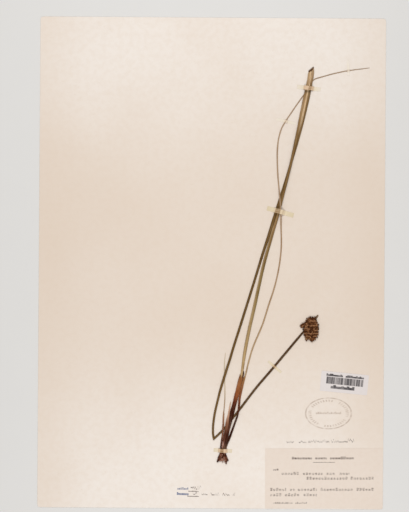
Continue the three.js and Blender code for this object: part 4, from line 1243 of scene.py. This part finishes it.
# Through its strap the rootstock shows as a dark band, partly seen through the paper and partly painted
# shadow, further left than it lies, and narrower
ROOT_SHADOW_SHIFT, ROOT_SHADOW_SHARE = -0.8, 0.6
stem_lines = {name: smooth_route(route, 1 * MM)[0] for name, route in (
    ("rising", RISING_LEG), ("falling", FALLING_LEG), ("flower_stem", FLOWER_STEM), ("slender", SLENDER_CULM),
    ("root", [(x + ROOT_SHADOW_SHIFT, y, height, width * ROOT_SHADOW_SHARE) for x, y, height, width in ROOT_PARTS[0][1]]))}


def gummed_strap(name, start, end, width, over, faded, glued, raised, shows, under, seed):
    """A thin strip that lies on the sheet, climbs what it crosses and comes down again, with soft edges.
    Its tone is marked as how toned it is, how much of a stem shows through, and how faded it is."""
    edge_wave, ruck_wave, ruck_depth, pinched, end_share = 1.6, 2.2, 0.05, 0.3, 0.3
    start, end = np.array(start), np.array(end)
    length = np.linalg.norm(end - start)
    ahead = (end - start) / length
    side = np.array([-ahead[1], ahead[0]])
    along = np.linspace(0, length, round(length / STRAP_STEP) + 1)
    heights = np.interp(along, *zip(*under))
    eased = np.convolve(np.pad(heights, 2, mode="edge"), [0.1, 0.2, 0.4, 0.2, 0.1], mode="valid")
    heights = np.maximum(np.maximum(eased, heights) - AIR, 0) + AIR
    across = np.linspace(-1, 1, STRAP_COLUMNS)
    uneven = 1 - 0.04 * (0.5 + 0.5 * wander(along, edge_wave, seed))
    pinch = np.where((along < pinched) | (along > length - pinched), 0.96, 1.0)
    offset = across[None] * (width / 2 * uneven * pinch)[:, None]
    ruck = soft_noise(along[:, None] + 0 * offset, offset, ruck_wave, seed)
    ruck = ruck_depth * np.minimum(heights, 1)[:, None] * ruck
    upper = heights[:, None] + STRAP_THICKNESS * (1 - 0.5 * np.abs(across[None]) ** 8) - ruck
    lower = np.broadcast_to(heights[:, None], upper.shape)
    around = np.concatenate([offset, offset[:, ::-1]], axis=1)
    flat = start + along[:, None, None] * ahead + around[:, :, None] * side
    rings = np.concatenate([flat, np.concatenate([upper, lower], axis=1)[:, :, None]], axis=2)
    points = np.vstack([rings.reshape(-1, 3), *end_middles(rings)]) * MM + np.array([0, 0, SHEET_TOP])
    piece = new_piece(name, points, tube_faces(*around.shape), sharp=50)
    spots = flat.reshape(-1, 2) * MM
    dark = np.zeros(len(spots))
    for stem in over:
        gap = np.linalg.norm(spots[:, None] - stem_lines[stem][None, :, :2], axis=2)
        near = gap.argmin(axis=1)
        edge = gap[np.arange(len(spots)), near] / (stem_lines[stem][near, 3] / 2)
        dark = np.maximum(dark, shows * np.clip((1.2 - edge) / 0.4, 0, 1))
    from_end = np.minimum(along, length - along) / (end_share * length)
    along, lift, from_end = (np.repeat(line, around.shape[1]) for line in (
        along * MM, np.interp(heights, [0.1, 0.7], [0, raised]), from_end))
    grain = np.stack([along, around.ravel() * MM, lift], axis=1)
    tones = np.stack([glued * np.clip(1.1 - from_end, 0, 1), dark, np.interp(from_end, [0.2, 1.2], faded),
                      np.ones_like(lift)], axis=1)
    mark(piece, *(np.vstack([marks, marks[:1], marks[-1:]]) for marks in (grain, tones)))
    return piece


def gummed_paper():
    """The straps' paper: creased along, toned where it is glued, faded at its ends and dark over a stem."""
    material, shader = new_finish("gummed_paper", 0.62, 0.25)
    tone, grain = read_marks(shader)
    glued, dark, faded = put("SeparateColor", {0: tone}).outputs
    lift = axes_of(grain)[2]
    colour, relief = paper_colour(place_in(shader), STRAP_CREAM, STRAP_TONED, 1.4)
    creases = cloud(stretched(grain, 30.0, 1100.0, 0.0), 1.0, 2.0)
    colour = coated(colour, (fade(creases, 0.4, 0.7, 0.0, 0.35), STRAP_TONED), (faded, SHEET_CREAM),
                    (glued, STRAP_TONED), (lift, STRAP_RAISED),
                    (times(dark, fade(creases, 0.35, 0.65, 0.6, 1.0)), STRAP_OVER_STEM))
    lay(shader, colour, relief, PAPER_BUMP, 0.015 * MM)
    return material


strap_paper = gummed_paper()
for seed, (node, facts) in enumerate(STRAPS.items(), 80):
    stand_for(gummed_strap("gummed_" + node, seed=seed, **facts), node, "gummed_paper", strap_paper)


# The studio: a plain pale floor, two soft lamps beyond the sheet's head and foot, as on a copying stand,
# and a camera that looks straight down on the sheet, turned a little as the picture was.
FLOOR_HALF = 3.0
FLOOR_DROP = 0.02 * MM
FLOOR_GREY, FLOOR_MOTTLED = (224, 223, 221), (214, 213, 211)
CAMERA_HEIGHT = 1.0
PICTURE_HEIGHT = 0.4354
SENSOR = 36.0
CAMERA_X, CAMERA_Y = -6.15 * MM, 5.85 * MM
CAMERA_TURN = 0.39
LAMPS = {"head_lamp": (-0.04, 0.5, 0.65), "foot_lamp": (0.04, -0.5, 0.65)}
LAMP_POWER = 2.6
LAMP_WIDTH, LAMP_DEPTH = 0.55, 0.22
SKY = (255, 252, 249)
SKY_STRENGTH = 0.44

floor_finish, shader = new_finish("matte_floor", 0.85, 0.2)
mottle = fade(cloud(place_in(shader), 30.0, 3.0), 0.3, 0.7, 0.0, 0.06)
join(coated(FLOOR_GREY, (mottle, FLOOR_MOTTLED)), shader, "Base Color")
corners = [(x * FLOOR_HALF, y * FLOOR_HALF, 0) for x, y in ((-1, -1), (1, -1), (1, 1), (-1, 1))]
floor = new_piece("floor", corners, [(0, 1, 2, 3)])
floor.data.materials.append(floor_finish)
floor.location.z = -FLOOR_DROP


def hang(name, thing, place, turn):
    """Puts a lamp or a camera at a place in the studio."""
    holder = bpy.data.objects.new(name, thing)
    holder.location, holder.rotation_euler = place, turn
    bpy.context.scene.collection.objects.link(holder)
    return holder


for name, (x, y, z) in LAMPS.items():
    lamp = bpy.data.lights.new(name, "AREA")
    lamp.shape = "RECTANGLE"
    lamp.size, lamp.size_y = LAMP_WIDTH, LAMP_DEPTH
    lamp.energy = LAMP_POWER
    hang(name, lamp, (x, y, z), (-math.atan2(y, z), 0, 0)).visible_camera = False

world = bpy.data.worlds.new("studio")
world.use_nodes = True
world.node_tree.nodes["Background"].inputs["Color"].default_value = ink(*SKY)
world.node_tree.nodes["Background"].inputs["Strength"].default_value = SKY_STRENGTH
bpy.context.scene.world = world
bpy.context.scene.view_settings.view_transform = "Standard"

lens = bpy.data.cameras.new("copy_camera")
lens.sensor_width = SENSOR
lens.lens = SENSOR * CAMERA_HEIGHT / PICTURE_HEIGHT
lens.clip_start, lens.clip_end = 0.05, 20
bpy.context.scene.camera = hang("copy_camera", lens, (CAMERA_X, CAMERA_Y, SHEET_TOP + CAMERA_HEIGHT),
                                (0, 0, math.radians(CAMERA_TURN)))
